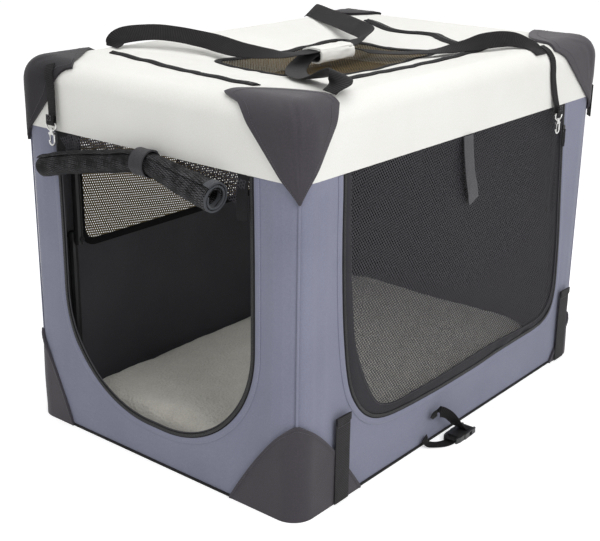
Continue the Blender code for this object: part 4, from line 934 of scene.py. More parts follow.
def strand_lines(polygon, pitch, width, segment, place, turn):
    """Edges and sideways ways of strands in three directions inside an anticlockwise polygon, woven."""
    polygon = [Vector(p) for p in polygon]
    centre = sum(polygon, Vector((0, 0))) / len(polygon)
    radius = max((p - centre).length for p in polygon)
    count = int(radius / pitch) + 2
    points, across, edges = [], [], []
    for layer, degrees in enumerate((0, 60, 120)):
        angle = math.radians(degrees + turn)
        way = Vector((math.cos(angle), math.sin(angle)))
        side = Vector((-way.y, way.x))
        lift = (layer - 1) * STRAND_LIFT
        for k in range(-count, count + 1):
            offset = (k + (0.5 if layer == 2 else 0.0)) * pitch
            start = centre + side * offset
            found = clip(polygon, start, way)
            if not found:
                continue
            near, far = found
            steps = max(1, math.ceil((far - near) / segment))
            first = len(points)
            for s in range(steps + 1):
                middle = start + way * (near + (far - near) * s / steps)
                low, high = middle - side * width / 2, middle + side * width / 2
                edge = place(low.x, low.y, lift)
                points.append(edge)
                across.append((place(high.x, high.y, lift) - edge) / width)
            edges += [(first + s, first + s + 1) for s in range(steps)]
    return points, across, edges


def strip_net(name, polygon, width, segment, place, finish=NET, turn=0.0):
    """A net of flat strands."""
    points, across, edges = strand_lines(polygon, NET_PITCH, width, segment, place, turn)
    return STRANDS.make(name, points, edges, {"across": across}, finish, Width=width)


def anticlockwise(points):
    """The outline in the order that clip needs."""
    turned = sum(a[0] * b[1] - b[0] * a[1] for a, b in zip(points, points[1:] + points[:1]))
    return list(points) if turned > 0 else list(points)[::-1]


def net_sheet(net, flat):
    """The area of a net as a sheet: its yarn is flat strips, so its area is theirs, up to the whole cut."""
    yarn = sum(p.area for p in net.data.polygons)
    min(yarn, 0.98 * flat[0] * flat[1])


def wall_net(name, side, outline, node, finish, strip, inset_lift=-0.0008, slack=0.0):
    """A net in a wall's opening, which hangs back by its slack."""
    polygon = anticlockwise(outline)
    low_u, high_u = min(p[0] for p in polygon), max(p[0] for p in polygon)
    low_v, high_v = min(p[1] for p in polygon), max(p[1] for p in polygon)

    def place(u, v, lift):
        a, b = (u - low_u) / (high_u - low_u), (v - low_v) / (high_v - low_v)
        hollow = slack * math.sin(math.pi * min(max(a, 0), 1)) * math.sin(math.pi * min(max(b, 0), 1))
        hollow *= 1 + 0.5 * ripple(u * 6, v * 7, side)
        return wall_place(side, u, v, wall_ease(side, u, v) + inset_lift - hollow + lift)

    net = strip_net(name, polygon, strip, 0.03, place, finish, 8.0)
    on_base(net, node)
    net_sheet(net, (high_u - low_u, high_v - low_v))


def build_wall_nets():
    """The nets of the side door and the left window."""
    top = SEAM_Z - 0.001
    wall_net("side_door_mesh", RIGHT, hull(side_border(0.55, top)), "side_door_net", NET, NET_STRIP,
             slack=0.0030)
    wall_net("left_window_mesh", LEFT, window(WINDOW_HALF, 0.001), "left_window_net", NET_BROWN, WINDOW_STRIP,
             slack=0.0015)


# Roof

def rounded_loop(half_x, half_y, radius, arc, straight):
    """A rounded rectangle, anticlockwise, with the same number of points whatever its size."""
    corners = ((half_x - radius, half_y - radius, 0), (-half_x + radius, half_y - radius, 90),
               (-half_x + radius, -half_y + radius, 180), (half_x - radius, -half_y + radius, 270))
    loop = []
    for k, (cx, cy, start) in enumerate(corners):
        curve = [(cx + radius * math.cos(math.radians(start + 90 * i / arc)),
                  cy + radius * math.sin(math.radians(start + 90 * i / arc))) for i in range(arc + 1)]
        loop += curve
        nx, ny, following = corners[(k + 1) % 4]
        turn = math.radians(following)
        (ax, ay), (bx, by) = curve[-1], (nx + radius * math.cos(turn), ny + radius * math.sin(turn))
        loop += [(ax + (bx - ax) * i / straight, ay + (by - ay) * i / straight) for i in range(1, straight)]
    return loop


# Steps round each corner and along each side of the roof's rings
ROOF_ARC, ROOF_STRAIGHT = 10, 34


def skirt_ease(x, y, z):
    """Small waves of the skirt, none at the seam's own line."""
    along = math.atan2(y / HALF_L, x / HALF_W)
    return 0.0008 * ripple(along * 9, z * 9, 4.0) * ease((z - SEAM_Z) / 0.02)


def roof_rings(depth):
    """Rings of points from the skirt's hem to the window's edge, and each one's distance along the cloth."""
    rings, travelled = [], []
    run = 0.0
    for k in range(8):
        z = SEAM_Z + (HEIGHT - EDGE_R - SEAM_Z) * k / 7
        loop = rounded_loop(HALF_W - depth, HALF_L - depth, EDGE_R - depth, ROOF_ARC, ROOF_STRAIGHT)
        ring = []
        for x, y in loop:
            out = Vector((x, y, 0)) - Vector((max(-HALF_W + EDGE_R, min(HALF_W - EDGE_R, x)),
                                              max(-HALF_L + EDGE_R, min(HALF_L - EDGE_R, y)), 0))
            ring.append(Vector((x, y, z)) + out.normalized() * skirt_ease(x, y, z))
        rings.append(ring)
        travelled.append(run)
        run += (HEIGHT - EDGE_R - SEAM_Z) / 7
    for k in range(1, 11):
        turn = math.radians(8.4 * k)
        radius = max((EDGE_R - depth) * math.cos(turn), 0.002)
        inset = EDGE_R - radius
        z = HEIGHT - EDGE_R + (EDGE_R - depth) * math.sin(turn)
        loop = rounded_loop(HALF_W - inset, HALF_L - inset, radius, ROOF_ARC, ROOF_STRAIGHT)
        share = math.sin(turn) ** 2
        rings.append([Vector((x, y, z - (roof_sag(x, y) - roof_fold(x, y)) * share)) for x, y in loop])
        travelled.append(run)
        run += EDGE_R * math.radians(8.4)
    last = math.radians(84)
    edge_r = (EDGE_R - depth) * math.cos(last)
    inset = EDGE_R - edge_r
    edge = rounded_loop(HALF_W - inset, HALF_L - inset, edge_r, ROOF_ARC, ROOF_STRAIGHT)
    hole = rounded_loop(ROOF_HOLE_X, ROOF_HOLE_Y, ROOF_HOLE_R, ROOF_ARC, ROOF_STRAIGHT)
    drop = (EDGE_R - depth) * (1 - math.sin(last))
    for k in range(1, 25):
        share = k / 24
        ring = []
        for (ax, ay), (bx, by) in zip(edge, hole):
            x, y = ax + (bx - ax) * share, ay + (by - ay) * share
            place = roof_place(x, y)
            ring.append(Vector((x, y, place.z - depth - drop * (1 - share))))
        rings.append(ring)
        travelled.append(run)
        run += 0.008
    return rings, travelled


def build_roof():
    """The roof's cloth with its skirt, then its net and its tapes."""
    outer, travelled = roof_rings(0.0)
    inner, _ = roof_rings(CLOTH_T)

    def flat(i, j):
        point = outer[i][j % len(outer[0])]
        if travelled[i] < EDGE_R * 1.2 + (HEIGHT - EDGE_R - SEAM_Z):
            return (point.x + point.y, travelled[i])
        return (point.x, point.y)

    roof = shell("roof_cloth", outer, inner, flat, CREAM, CREAM, closed=True)
    on_roof(roof, "roof_cover")
    build_roof_net()
    build_roof_tapes()


def build_roof_net():
    """The roof window's net."""
    polygon = anticlockwise(rounded_loop(ROOF_HOLE_X + 0.004, ROOF_HOLE_Y + 0.004, ROOF_HOLE_R, 6, 2))

    def place(x, y, lift):
        a, b = min(abs(x) / ROOF_HOLE_X, 1), min(abs(y) / ROOF_HOLE_Y, 1)
        hollow = 0.0006 + 0.0012 * (1 - a * a) * (1 - b * b)
        return roof_place(x, y, lift - hollow)

    net = strip_net("roof_window_mesh", polygon, NET_STRIP, 0.016, place, NET_WARM, 12.0)
    on_roof(net, "roof_window_net")
    net_sheet(net, (2 * ROOF_HOLE_X, 2 * ROOF_HOLE_Y))


def tape_on_roof(name, path, width, lift, thick, finish, closed=False, columns=4, crown=0.0, step=0.006):
    """A flat tape that lies on the roof along (x, y) points."""
    line = spaced(path, step, closed)
    count = len(line)
    outer, inner, run = [], [], [0.0]
    for i, p in enumerate(line):
        before = line[i - 1] if closed or i else line[0]
        after = line[(i + 1) % count] if closed or i < count - 1 else line[-1]
        way = (after - before).normalized()
        side = Vector((-way.y, way.x))
        row_out, row_in = [], []
        for c in range(columns + 1):
            share = c / columns - 0.5
            q = p + side * (share * width)
            rise = crown * (1 - (2 * share) ** 2)
            row_out.append(roof_place(q.x, q.y, lift + thick + rise))
            row_in.append(roof_place(q.x, q.y, lift))
        outer.append(row_out)
        inner.append(row_in)
        run.append(run[-1] + (line[(i + 1) % count] - p).length)
    columns_first = [[row[c] for row in outer] for c in range(columns + 1)]
    inner_first = [[row[c] for row in inner] for c in range(columns + 1)]

    def flat(i, j):
        return (i / columns * width, run[min(j, len(run) - 1)])

    return shell(name, columns_first, inner_first, flat, finish, closed=closed)


def roof_line(path, lift, step, closed=False):
    """Places along a flat path on the roof, as (middle, along, out)."""
    points = spaced(path, step, closed)
    found = []
    for i, p in enumerate(points):
        a, b = points[max(i - 1, 0)], points[min(i + 1, len(points) - 1)]
        middle = roof_place(p.x, p.y, lift)
        along = (roof_place(b.x, b.y) - roof_place(a.x, a.y)).normalized()
        out = along.cross(Vector((along.y, -along.x, 0))).normalized()
        out = out if out.z > 0 else -out
        found.append((middle, along, out))
    return found


# Each roof zip: its tape's width and points (x, y) along it
ROOF_ZIPS = (("roof_zip_front", 0.016, ((-0.2334, -0.3033), (-0.133, -0.3122), (0.0008, -0.3319),
                                        (0.1398, -0.3550))),
             ("roof_zip_right", 0.021, ((0.1728, -0.1908), (0.1867, -0.1777), (0.1814, -0.0284),
                                        (0.1914, 0.1151), (0.1907, 0.2398))),
             ("roof_zip_rear", 0.021, ((0.1452, 0.2340), (0.0703, 0.2722), (0.0116, 0.3077),
                                       (-0.0661, 0.2964), (-0.1638, 0.3417))))


def build_roof_tapes():
    """The roof window's binding and the three zips beside it."""
    hole = rounded_loop(ROOF_HOLE_X, ROOF_HOLE_Y, ROOF_HOLE_R, 6, 2)
    on_roof(tape_on_roof("roof_window_binding", hole, 0.012, 0.0004, 0.0012, BINDING, True, crown=0.0006))
    inner = rounded_loop(ROOF_HOLE_X - 0.004, ROOF_HOLE_Y - 0.004, ROOF_HOLE_R - 0.004, 6, 2)
    stitching("roof_window_stitch", roof_line(inner, 0.0016, STITCH_STEP, True), THREAD, on_roof)
    for name, width, points in ROOF_ZIPS:
        path = [(p.x, p.y) for p in smooth_route([(x, y, 0) for x, y in points], 8)]
        on_roof(tape_on_roof(f"{name}_tape", path, width, 0.0002, 0.0016, BINDING, crown=0.0016))
        on_roof(studs(f"{name}_teeth", roof_line(path, 0.0036, TOOTH_STEP), ROOF_TOOTH, TEETH))


# Patches on the corners

# How far the upper patches reach down, how far they stand off the cover, and their thickness
PATCH_DROP, PATCH_LIFT, PATCH_T = 0.142, 0.0034, 0.0016
# Each upper patch: its corner, the leg along the end's top edge, that tip's inset, the leg along the side
# and how far its edges on the end's skirt and on the roof swell out
TOP_PATCHES = (("front_left", -1, -1, 0.116, 0.022, 0.165, 0.030, 0.0),
               ("front_right", 1, -1, 0.159, 0.018, 0.092, 0.0, 0.030),
               ("rear_left", -1, 1, 0.110, 0.018, 0.105, 0.0, 0.030),
               ("rear_right", 1, 1, 0.124, 0.030, 0.164, 0.0, 0.030))
# Each lower patch: its corner, the leg along the end wall, the leg along the side wall and its height
LOW_PATCHES = (("front_left", -1, -1, 0.092, 0.100, 0.165),
               ("front_right", 1, -1, 0.137, 0.160, 0.165),
               ("rear_left", -1, 1, 0.093, 0.093, 0.085),
               ("rear_right", 1, 1, 0.093, 0.093, 0.085))
# How high a lower patch still is at its ends
LOW_PATCH_TOE = 0.004


def top_patch_place(sizes, down_share, across, lift):
    """A point of an upper patch: from its lower tip at 0 to its edge on the roof at 1, and across it."""
    side, end, end_leg, end_inset, side_leg, skirt_swell, roof_swell = sizes
    corner = Vector((side * HALF_W, end * HALF_L, HEIGHT))
    along_end = corner + Vector((-side * end_leg, -end * end_inset, 0))
    along_side = corner + Vector((0, -end * side_leg, 0))
    tip = corner + Vector((0, 0, -PATCH_DROP))
    a, b = down_share * (1 - across), down_share * across
    bulge = Vector((-side, -end, 0)).normalized() * (roof_swell * 4 * a * b)
    flat = along_end * a + along_side * b + tip * (1 - a - b) + bulge
    flat.x -= side * skirt_swell * min(2 * a, 1) * min((1 - down_share) / 0.08, 1) * (1 - across) ** 2
    out = Vector((side, end, 1)).normalized()
    reach = min((HALF_W - abs(flat.x)) / abs(out.x), (HALF_L - abs(flat.y)) / abs(out.y),
                (HEIGHT - flat.z) / out.z)
    return on_cover(flat + out * reach, lift)


def patch_crease(side, end, s, t):
    """Soft creases that run down a patch from its middle."""
    seed = 3.1 * side + 1.7 * end
    long = ripple(6.0 * (t - 0.5) + seed, 1.5 * s, seed)
    fine = ripple(14.0 * (t - 0.5) * s + seed, 5.0 * s, 2.0 + seed)
    middle = math.sin(math.pi * min(max(t, 0), 1)) * math.sin(math.pi * min(max(s, 0), 1))
    bent = t - 0.5 - 0.06 * ripple(4.0 * s, seed, 9.0)
    corner = math.exp(-(bent / 0.05) ** 2) * (0.6 + 0.4 * ripple(9.0 * s, seed, 5.0))
    return middle * (0.0022 * long + 0.0012 * fine + 0.0022 * corner)


def build_top_patches():
    """The four upper corner patches, each with a row of stitches inside its three edges."""
    steps = 36
    for corner, *sizes in TOP_PATCHES:
        side, end = sizes[:2]
        shares = [0.02 + 0.98 * k / steps for k in range(steps + 1)]
        outer, inner = [], []
        for s in shares:
            top_row, low_row = [], []
            for k in range(steps + 1):
                t = k / steps
                edge = min(1 - s, t * s, (1 - t) * s)
                hem = 0.0007 * ease(1 - edge / 0.045) + 0.0008 * ease(edge / 0.03)
                lift = PATCH_LIFT + hem + abs(patch_crease(side, end, s, t))
                top_row.append(top_patch_place(sizes, s, t, lift + PATCH_T))
                low_row.append(top_patch_place(sizes, s, t, PATCH_LIFT - 0.0018 * ease(1 - edge / 0.02)))
            outer.append(top_row)
            inner.append(low_row)

        def flat(i, j):
            return (shares[i] * (j / steps) * 0.20, shares[i] * 0.19)

        # The left upper patches take the black cloth with painted shade
        patch = shell(f"{corner}_top_patch_cloth", outer, inner, flat, BLACK if side > 0 else SHADED_BLACK)
        on_roof(patch, f"top_patch_{corner}")
        row = []
        paths = ([(0.06 + 0.90 * k / 50, 0.055) for k in range(51)],
                 [(0.06 + 0.90 * k / 50, 0.945) for k in range(51)],
                 [(0.955, 0.055 + 0.89 * k / 50) for k in range(51)])
        for path in paths:
            for (s0, t0), (s1, t1) in zip(path, path[1:]):
                lift = PATCH_LIFT + PATCH_T + 0.0011 + abs(patch_crease(side, end, s0, t0))
                a, b = (top_patch_place(sizes, s, t, lift) for s, t in ((s0, t0), (s1, t1)))
                out = top_patch_place(sizes, s0, t0, lift + 0.01) - a
                row.append(((a + b) / 2, (b - a).normalized(), out.normalized()))
        on_roof(studs(f"{corner}_top_patch_stitch", row, PATCH_STITCH, THREAD))


def low_patch_place(side, end, along, up, lift):
    """A point round a lower corner: along is minus on the end wall, plus on the side wall."""
    past = max(abs(along) - HALF_ARC, 0.0)
    turn = math.pi / 4 - max(-HALF_ARC, min(HALF_ARC, along)) / EDGE_R
    core = Vector((HALF_W - EDGE_R, HALF_L - EDGE_R, 0))
    foot = core - (Vector((past, 0, 0)) if along < 0 else Vector((0, past, 0)))
    found = foot + Vector((math.cos(turn), math.sin(turn), 0)) * (EDGE_R + lift)
    return Vector((side * found.x, end * found.y, up))


def low_patch_rise(along, end_leg, side_leg, height):
    """How high a lower patch reaches at a place along it."""
    share = abs(along) / ((end_leg if along < 0 else side_leg) - EDGE_R + HALF_ARC)
    return LOW_PATCH_TOE + (height - LOW_PATCH_TOE) * (1 - min(share, 1) ** 1.35)


def build_low_patches():
    """The four lower corner patches, each with a row of stitches under its arched edge."""
    columns, rows = 72, 24
    for corner, side, end, *sizes in LOW_PATCHES:
        end_leg, side_leg, height = sizes
        first, last = EDGE_R - HALF_ARC - end_leg, side_leg - EDGE_R + HALF_ARC
        lines = [first + (last - first) * k / columns for k in range(columns + 1)]
        seed = 2.3 * side + end
        outer, inner = [], []
        for i in range(rows + 1):
            top_row, low_row = [], []
            for along in lines:
                rise = low_patch_rise(along, *sizes)
                up = rise * i / rows
                edge = ease((0.0085 - (rise - up)) / 0.0015)
                crease = 0.0016 * ripple(along * 20 + seed, up * 13, seed) * ease(up / 0.03) * (1 - edge)
                top_row.append(low_patch_place(side, end, along, up, 0.0030 + 0.0012 * edge + crease))
                low_row.append(low_patch_place(side, end, along, up, 0.0010 - 0.0012 * edge))
            outer.append(top_row)
            inner.append(low_row)

        def flat(i, j):
            return (lines[j], low_patch_rise(lines[j], *sizes) * i / rows)

        patch = shell(f"{corner}_low_patch_cloth", outer, inner, flat, BLACK)
        on_base(patch, f"bottom_patch_{corner}")
        row = []
        for k in range(100):
            a, b = (first + 0.008 + (last - first - 0.016) * n / 100 for n in (k, k + 1))
            ups = [max(low_patch_rise(v, *sizes) - 0.0062, 0.001) for v in (a, b)]
            start, stop = (low_patch_place(side, end, v, up, 0.0045) for v, up in zip((a, b), ups))
            out = low_patch_place(side, end, a, 0.01, 0.02) - low_patch_place(side, end, a, 0.01, 0.0)
            row.append(((start + stop) / 2, (stop - start).normalized(), out.normalized()))
        on_base(studs(f"{corner}_low_patch_stitch", row, PATCH_STITCH, THREAD))


def build_hems():
    """The dark hem along the ground and the upright seams of the rounded corners."""
    for side in (FRONT, RIGHT, REAR, LEFT):
        reach = wall_reach(side)
        count = round(2 * reach / 0.008)
        grid = [[(reach * (2 * j / count - 1), 0.0045 * i / 3) for j in range(count + 1)] for i in range(4)]
        hem = cloth_on_wall(f"hem_{side}", side, grid, False, 0.0022, 0.0018, BINDING, BINDING)
        on_base(hem)
    for corner, side, end, *_ in LOW_PATCHES:
        route = [low_patch_place(side, end, 0.0, 0.002 + (SEAM_Z - 0.004) * k / 60, 0.0) for k in range(61)]
        out = Vector((side, end, 0)).normalized()
        across = Vector((side, -end, 0)).normalized()
        outer, inner = [], []
        for k in range(9):
            turn = math.pi * k / 8
            reach = 0.0013 * math.sin(turn)
            wide = -0.0020 * math.cos(turn)
            outer.append([p + out * reach + across * wide for p in route])
            inner.append([p - out * 0.0012 + across * wide * 0.6 for p in route])

        def flat(i, j):
            return (i * 0.0006, j * 0.009)

        seam = shell(f"{corner}_seam_welt", outer, inner, flat, GREY)
        on_base(seam)


# Straps

def ribbon(name, route, across, width, thick, finish, columns=8, edge=0.35, ripples=0.0, clear=None):
    """A strap along a route. across gives its width direction at each point."""
    ways = headings(route)
    outer, inner, run = [], [], [0.0]
    for a, b in zip(route, route[1:]):
        run.append(run[-1] + (b - a).length)
    for i, (point, way) in enumerate(zip(route, ways)):
        side = across[i] - way * across[i].dot(way)
        side.normalize()
        out = side.cross(way)
        top_row, low_row = [], []
        for c in range(columns + 1):
            s = 2 * c / columns - 1
            half = thick / 2 * (1 - edge * abs(s) ** 6)
            drift = ripples * ripple(run[i] * 40, s * 0.7, 6.0)
            base = point + side * (s * width / 2) + out * drift
            if clear:
                base = clear(base)
            top_row.append(base + out * half)
            low_row.append(base - out * half)
        outer.append(top_row)
        inner.append(low_row)

    def flat(i, j):
        return (j / columns * width, run[i])

    made = shell(name, outer, inner, flat, finish, sharp=60)
    return made


def box_stitch(name, middle, side, way, out, half, ride):
    """The crossed square of stitches that holds a strap's sewn end."""
    corners = [middle + side * (a * half) + way * (b * half) for a, b in ((-1, -1), (1, -1), (1, 1), (-1, 1))]
    row = []
    for a, b in ((0, 1), (1, 2), (2, 3), (3, 0), (0, 2), (1, 3)):
        start, stop = corners[a], corners[b]
        count = max(3, round((stop - start).length / 0.0034))
        along = (stop - start).normalized()
        row += [(start.lerp(stop, (k + 0.5) / count), along, out) for k in range(count)]
    ride(studs(name, row, STRAP_STITCH, THREAD))


# Heights of the grip's middle and of the two straps in it
GRIP_Z, UPPER_IN_GRIP, LOWER_IN_GRIP = 0.63895, 0.64765, 0.64325
# Points along each handle: x, y, height, tilt of its width in degrees
RIGHT_HANDLE = ((0.277, -0.354, 0.6552, 0), (0.282, -0.337, 0.6690, 10), (0.266, -0.318, 0.6770, 25),
                (0.222, -0.292, 0.6660, 10), (0.175, -0.270, 0.6510, 0), (0.115, -0.225, 0.6420, 0),
                (0.055, -0.160, 0.6330, 0), (0.010, -0.098, 0.6300, 0), (0, -0.050, LOWER_IN_GRIP, 0),
                (0, 0, LOWER_IN_GRIP, 0), (0, 0.050, LOWER_IN_GRIP, 0), (0.020, 0.092, 0.6330, 0),
                (0.080, 0.105, 0.6350, 0), (0.140, 0.125, 0.6420, 5), (0.185, 0.160, 0.6530, 25),
                (0.212, 0.190, 0.6620, 40), (0.240, 0.222, 0.6640, 40), (0.266, 0.236, 0.6570, 20),
                (0.284, 0.236, 0.6496, 0), (0.297, 0.236, 0.6412, 0))
LEFT_HANDLE = ((-0.268, -0.274, 0.6514, 0), (-0.263, -0.254, 0.6690, 40), (-0.225, -0.200, 0.6730, 40),
               (-0.165, -0.150, 0.6610, 40), (-0.090, -0.145, 0.6520, 35), (-0.030, -0.120, 0.6470, 15),
               (-0.004, -0.085, 0.6465, 0), (0, -0.050, UPPER_IN_GRIP, 0), (0, 0, UPPER_IN_GRIP, 0),
               (0, 0.050, UPPER_IN_GRIP, 0), (-0.004, 0.086, 0.6520, -10), (-0.012, 0.128, 0.6590, -35),
               (-0.075, 0.172, 0.6610, -40), (-0.150, 0.222, 0.6610, -40), (-0.225, 0.268, 0.6610, -40),
               (-0.279, 0.300, 0.6620, -40), (-0.2935, 0.3085, 0.6580, -40))


def clear_of_roof(point):
    """Keeps a strap's point just above the roof's cloth."""
    if abs(point.x) < HALF_W - EDGE_R and abs(point.y) < HALF_L - EDGE_R:
        level = roof_place(point.x, point.y).z + 0.0016
        if point.z < level:
            return Vector((point.x, point.y, level))
    return point


def handle(name, points, node):
    """A carry handle's webbing, tilted along its way."""
    route = smooth_route([p[:3] for p in points], 8)
    tilts = [p.x for p in smooth_route([(p[3], 0, 0) for p in points], 8)]
    across = []
    for way, tilt in zip(headings(route), tilts):
        level = Vector((0, 0, 1)).cross(way).normalized()
        across.append(Matrix.Rotation(math.radians(tilt), 3, way) @ level)
    strap = ribbon(name, route, across, HANDLE_WIDTH, WEB_T, WEBBING, 12, ripples=0.0006, clear=clear_of_roof)
    on_roof(strap, node)


def build_handles():
    """The two handles and the grip wrap round both."""
    handle("left_handle_webbing", LEFT_HANDLE, "left_handle")
    handle("right_handle_webbing", RIGHT_HANDLE, "right_handle")
    rows, columns = 40, 56
    half_w, half_h, length = 0.0240, 0.0143, 0.095
    outer, inner = [], []
    for i in range(rows + 1):
        y = length * (i / rows - 0.5)
        end = ease((length / 2 - abs(y)) / 0.006)
        ring_out, ring_in = [], []
        for j in range(columns):
            turn = 2 * math.pi * j / columns
            c, s = math.cos(turn), math.sin(turn)
            x = half_w * math.copysign(abs(c) ** 0.55, c)
            z = half_h * math.copysign(abs(s) ** 0.65, s)
            flap = 0.0011 * ease((math.sin(turn - 0.75) - 0.1) / 0.06)
            rough = 0.0009 * ripple(turn * 1.6, y * 60, 1.0) + 0.0007 * ripple(turn * 5, y * 25, 2.0)
            grow = 1 + (flap + rough - 0.0012 - 0.0006 * end) / half_h
            ring_out.append(Vector((x * grow, y, GRIP_Z + z * grow)))
            shrink = 1 - (0.0022 + 0.0012) / half_h
            ring_in.append(Vector((x * shrink, y, GRIP_Z + z * shrink)))
        outer.append(ring_out)
        inner.append(ring_in)

    def flat(i, j):
        return (j / columns * 0.12, i / rows * length)

    grip = shell("grip_wrap", outer, inner, flat, CREAM, LINING, closed=True, sharp=45)
    on_roof(grip, "handle_grip")


def on_side_wall(name, points, width, lift, finish, ride, nodes=(), bow=0.0):
    """A strap on the long right side along (y, z) points."""
    path = smooth_route([(HALF_W + lift, y, z) for y, z in points], 10)
    last = len(path) - 1
    path = [p + Vector((bow * math.sin(math.pi * i / last), 0, 0)) for i, p in enumerate(path)]
    strap = ribbon(name, path, [Vector((0, 1, 0))] * len(path), width, WEB_T, finish, 8, ripples=0.0003)
    ride(strap, *nodes)


# Points (y, z) along the side door's tie strap
TIE_LINE = ((-0.017, 0.5390), (-0.017, 0.510), (-0.009, 0.470), (0.0025, 0.443), (0.0130, 0.421))
TAB_WIDTH, TIE_WIDTH, HANDLE_WIDTH, HOOK_STRAP_WIDTH, STRAP_WIDTH = 0.036, 0.028, 0.036, 0.018, 0.020


def build_wall_straps():
    """The side wall's two tabs, the side door's tie and the plain strap at the rear corner."""
    for label, y, node in (("front", -0.344, "side_tab_front"), ("rear", 0.392, "side_tab_rear")):
        on_side_wall(f"{label}_tab_webbing", [(y, z) for z in (0.001, 0.05, 0.10, 0.152)], TAB_WIDTH, 0.0053,
                     TAB_WEBBING, on_base, (node,))
        on_side_wall(f"{label}_tab_fold", [(y, z) for z in (0.1405, 0.1445, 0.1490, 0.1530)], TAB_WIDTH,
                     0.0074, TAB_WEBBING, on_base)
        row = [(Vector((HALF_W + 0.0066, y - 0.014 + 0.0035 * k, 0.1360)), Vector((0, 1, 0)),
                Vector((1, 0, 0))) for k in range(9)]
        on_base(studs(f"{label}_tab_stitch", row, STRAP_STITCH, THREAD))
    on_side_wall("side_door_tie", TIE_LINE, TIE_WIDTH, 0.0030, TIE, under_roof, ("side_tie_strap",), 0.0040)
    lift = PATCH_LIFT + PATCH_T + 0.0024
    out = Vector((1, 1, 0)).normalized()
    core = Vector((HALF_W - EDGE_R, HALF_L - EDGE_R, 0))
    foot = core + out * (EDGE_R + lift)
    route = smooth_route([foot + Vector((0, 0, z)) for z in (0.560, 0.540, 0.520, 0.498)], 8)
    wide = [Vector((-1, 1, 0))] * len(route)
    on_roof(ribbon("rear_corner_strap", route, wide, STRAP_WIDTH, WEB_T, WEBBING), "rear_strap_end")


def build_hook_strap(name, place, turns, shift, lift, node, over=75, lean=0.0):
    """A hook's strap: over the roof's rounded edge by some degrees, down the wall and round the eye's bar."""
    stand, kink, rod = 0.0115, 0.014, 0.0017
    turned = Matrix.Translation(place) @ Matrix.Rotation(turns * math.pi / 2, 4, "Z")
    level = HEIGHT - EDGE_R - place.z
    off = lift + WEB_T / 2
    wrap = rod + 0.0003 + WEB_T / 2
    reach = EDGE_R + off
    route = []
    for share in (3, 2, 1, 0):
        turn = math.radians(over * share / 3)
        route.append((shift + lean * math.sin(turn), stand + EDGE_R - reach * math.cos(turn),
                      level + reach * math.sin(turn)))
    fall = level - kink
    route.append((shift * 0.8, stand - off, kink + fall * 0.7))
    route.append((shift * 0.3, stand - off - (stand - off - wrap) * 0.3, kink + fall * 0.25))
    route.append((0, wrap, kink * 0.5))
    for k in range(7):
        turn = math.pi * k / 6
        route.append((0, wrap * math.cos(turn), -wrap * math.sin(turn)))
    route.append((0, -wrap + 0.0004, kink))
    path = smooth_route([turned @ Vector(p) for p in route], 5)
    wide = Matrix.Rotation(turns * math.pi / 2, 3, "Z") @ Vector((1, 0, 0))
    on_roof(ribbon(name, path, [wide] * len(path), HOOK_STRAP_WIDTH, WEB_T, WEBBING), node)
    out = Matrix.Rotation(turns * math.pi / 2, 3, "Z") @ Vector((0, -1, 0))
    sewn = place + out * (wrap + WEB_T) + Vector((0, 0, 0.0095))
    box_stitch(f"{name}_stitch", sewn, wide, Vector((0, 0, 1)), out, 0.0042, on_roof)


def build_hook_straps():
    """The straps of the two hooks in view."""
    build_hook_strap("front_hook_webbing", Vector((-0.212, -0.4615, 0.5545)), 0, 0.0,
                     PATCH_LIFT + PATCH_T + 0.0026, "front_hook_strap", 48, -0.019)
    build_hook_strap("side_hook_webbing", Vector((0.3165, 0.283, 0.530)), 1, -0.018, 0.0020,
                     "side_hook_strap")


# The buckle's middle in x, its two strap bars in y, and their height
BUCKLE_X, PLUG_BAR, SOCKET_BAR, BUCKLE_MIDDLE = 0.336, -0.0600, -0.0023, 0.005


def build_buckle_straps():
    """The straps of the buckle's plug and socket, sewn to the side wall."""
    wrap = 0.0018 + 0.0003 + WEB_T / 2
    sewn = HALF_W + 0.0048 - BUCKLE_X
    turn = [(wrap * math.cos(math.radians(a)), wrap * math.sin(math.radians(a))) for a in range(-90, 91, 30)]

    def path(points):
        return smooth_route([Vector((BUCKLE_X + x, y, z)) for x, y, z in points], 5)

    def lies(route, settled, turn):
        """Width directions: along the wall where the strap is sewn, across the buckle from settled on."""
        return [Vector((0, turn, 0)).lerp(Vector((-1, 0, 0)), min(i / settled, 1)) for i in range(len(route))]

    route = [(sewn * (1 - s), PLUG_BAR + y, z) for s, y, z in ((0.0, -0.046, 0.0160), (0.23, -0.040, 0.0045))]
    route += [(x, PLUG_BAR + y, BUCKLE_MIDDLE - wrap) for x, y in ((-0.008, -0.026), (-0.001, -0.012))]
    route += [(0, PLUG_BAR + y, BUCKLE_MIDDLE + z) for y, z in turn]
    route.append((0, PLUG_BAR - 0.008, BUCKLE_MIDDLE + wrap - 0.0004))
    line = path(route)
    strap = ribbon("plug_webbing", line, lies(line, 15, 1), STRAP_WIDTH, WEB_T, WEBBING)
    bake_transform(strap)
    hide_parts("buckle_plug_strap")
    over = 0.010 + 0.0003 + WEB_T / 2
    route = [(sewn * (1 - s), y, z) for s, y, z in ((0.0, -0.085, 0.046), (0.24, -0.074, 0.057),
                                                    (0.62, -0.055, 0.047), (0.89, -0.036, 0.024))]
    route += [(0, -0.022, over + 0.001), (0, -0.010, over)]
    route += [(0, SOCKET_BAR + y, BUCKLE_MIDDLE - z) for y, z in turn]
    line = path(route)
    strap = ribbon("socket_webbing", line, lies(line, 20, -1), STRAP_WIDTH, WEB_T, WEBBING)
    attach(strap, "base")
    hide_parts("buckle_socket_strap")


# Rolled front door

# Points along the roll: x and how far below the seam
ROLL_DROPS = ((-0.2255, 0.0575), (-0.155, 0.0400), (-0.062, 0.0225), (0.017, 0.0105), (0.090, 0.0235),
              (0.165, 0.0360))
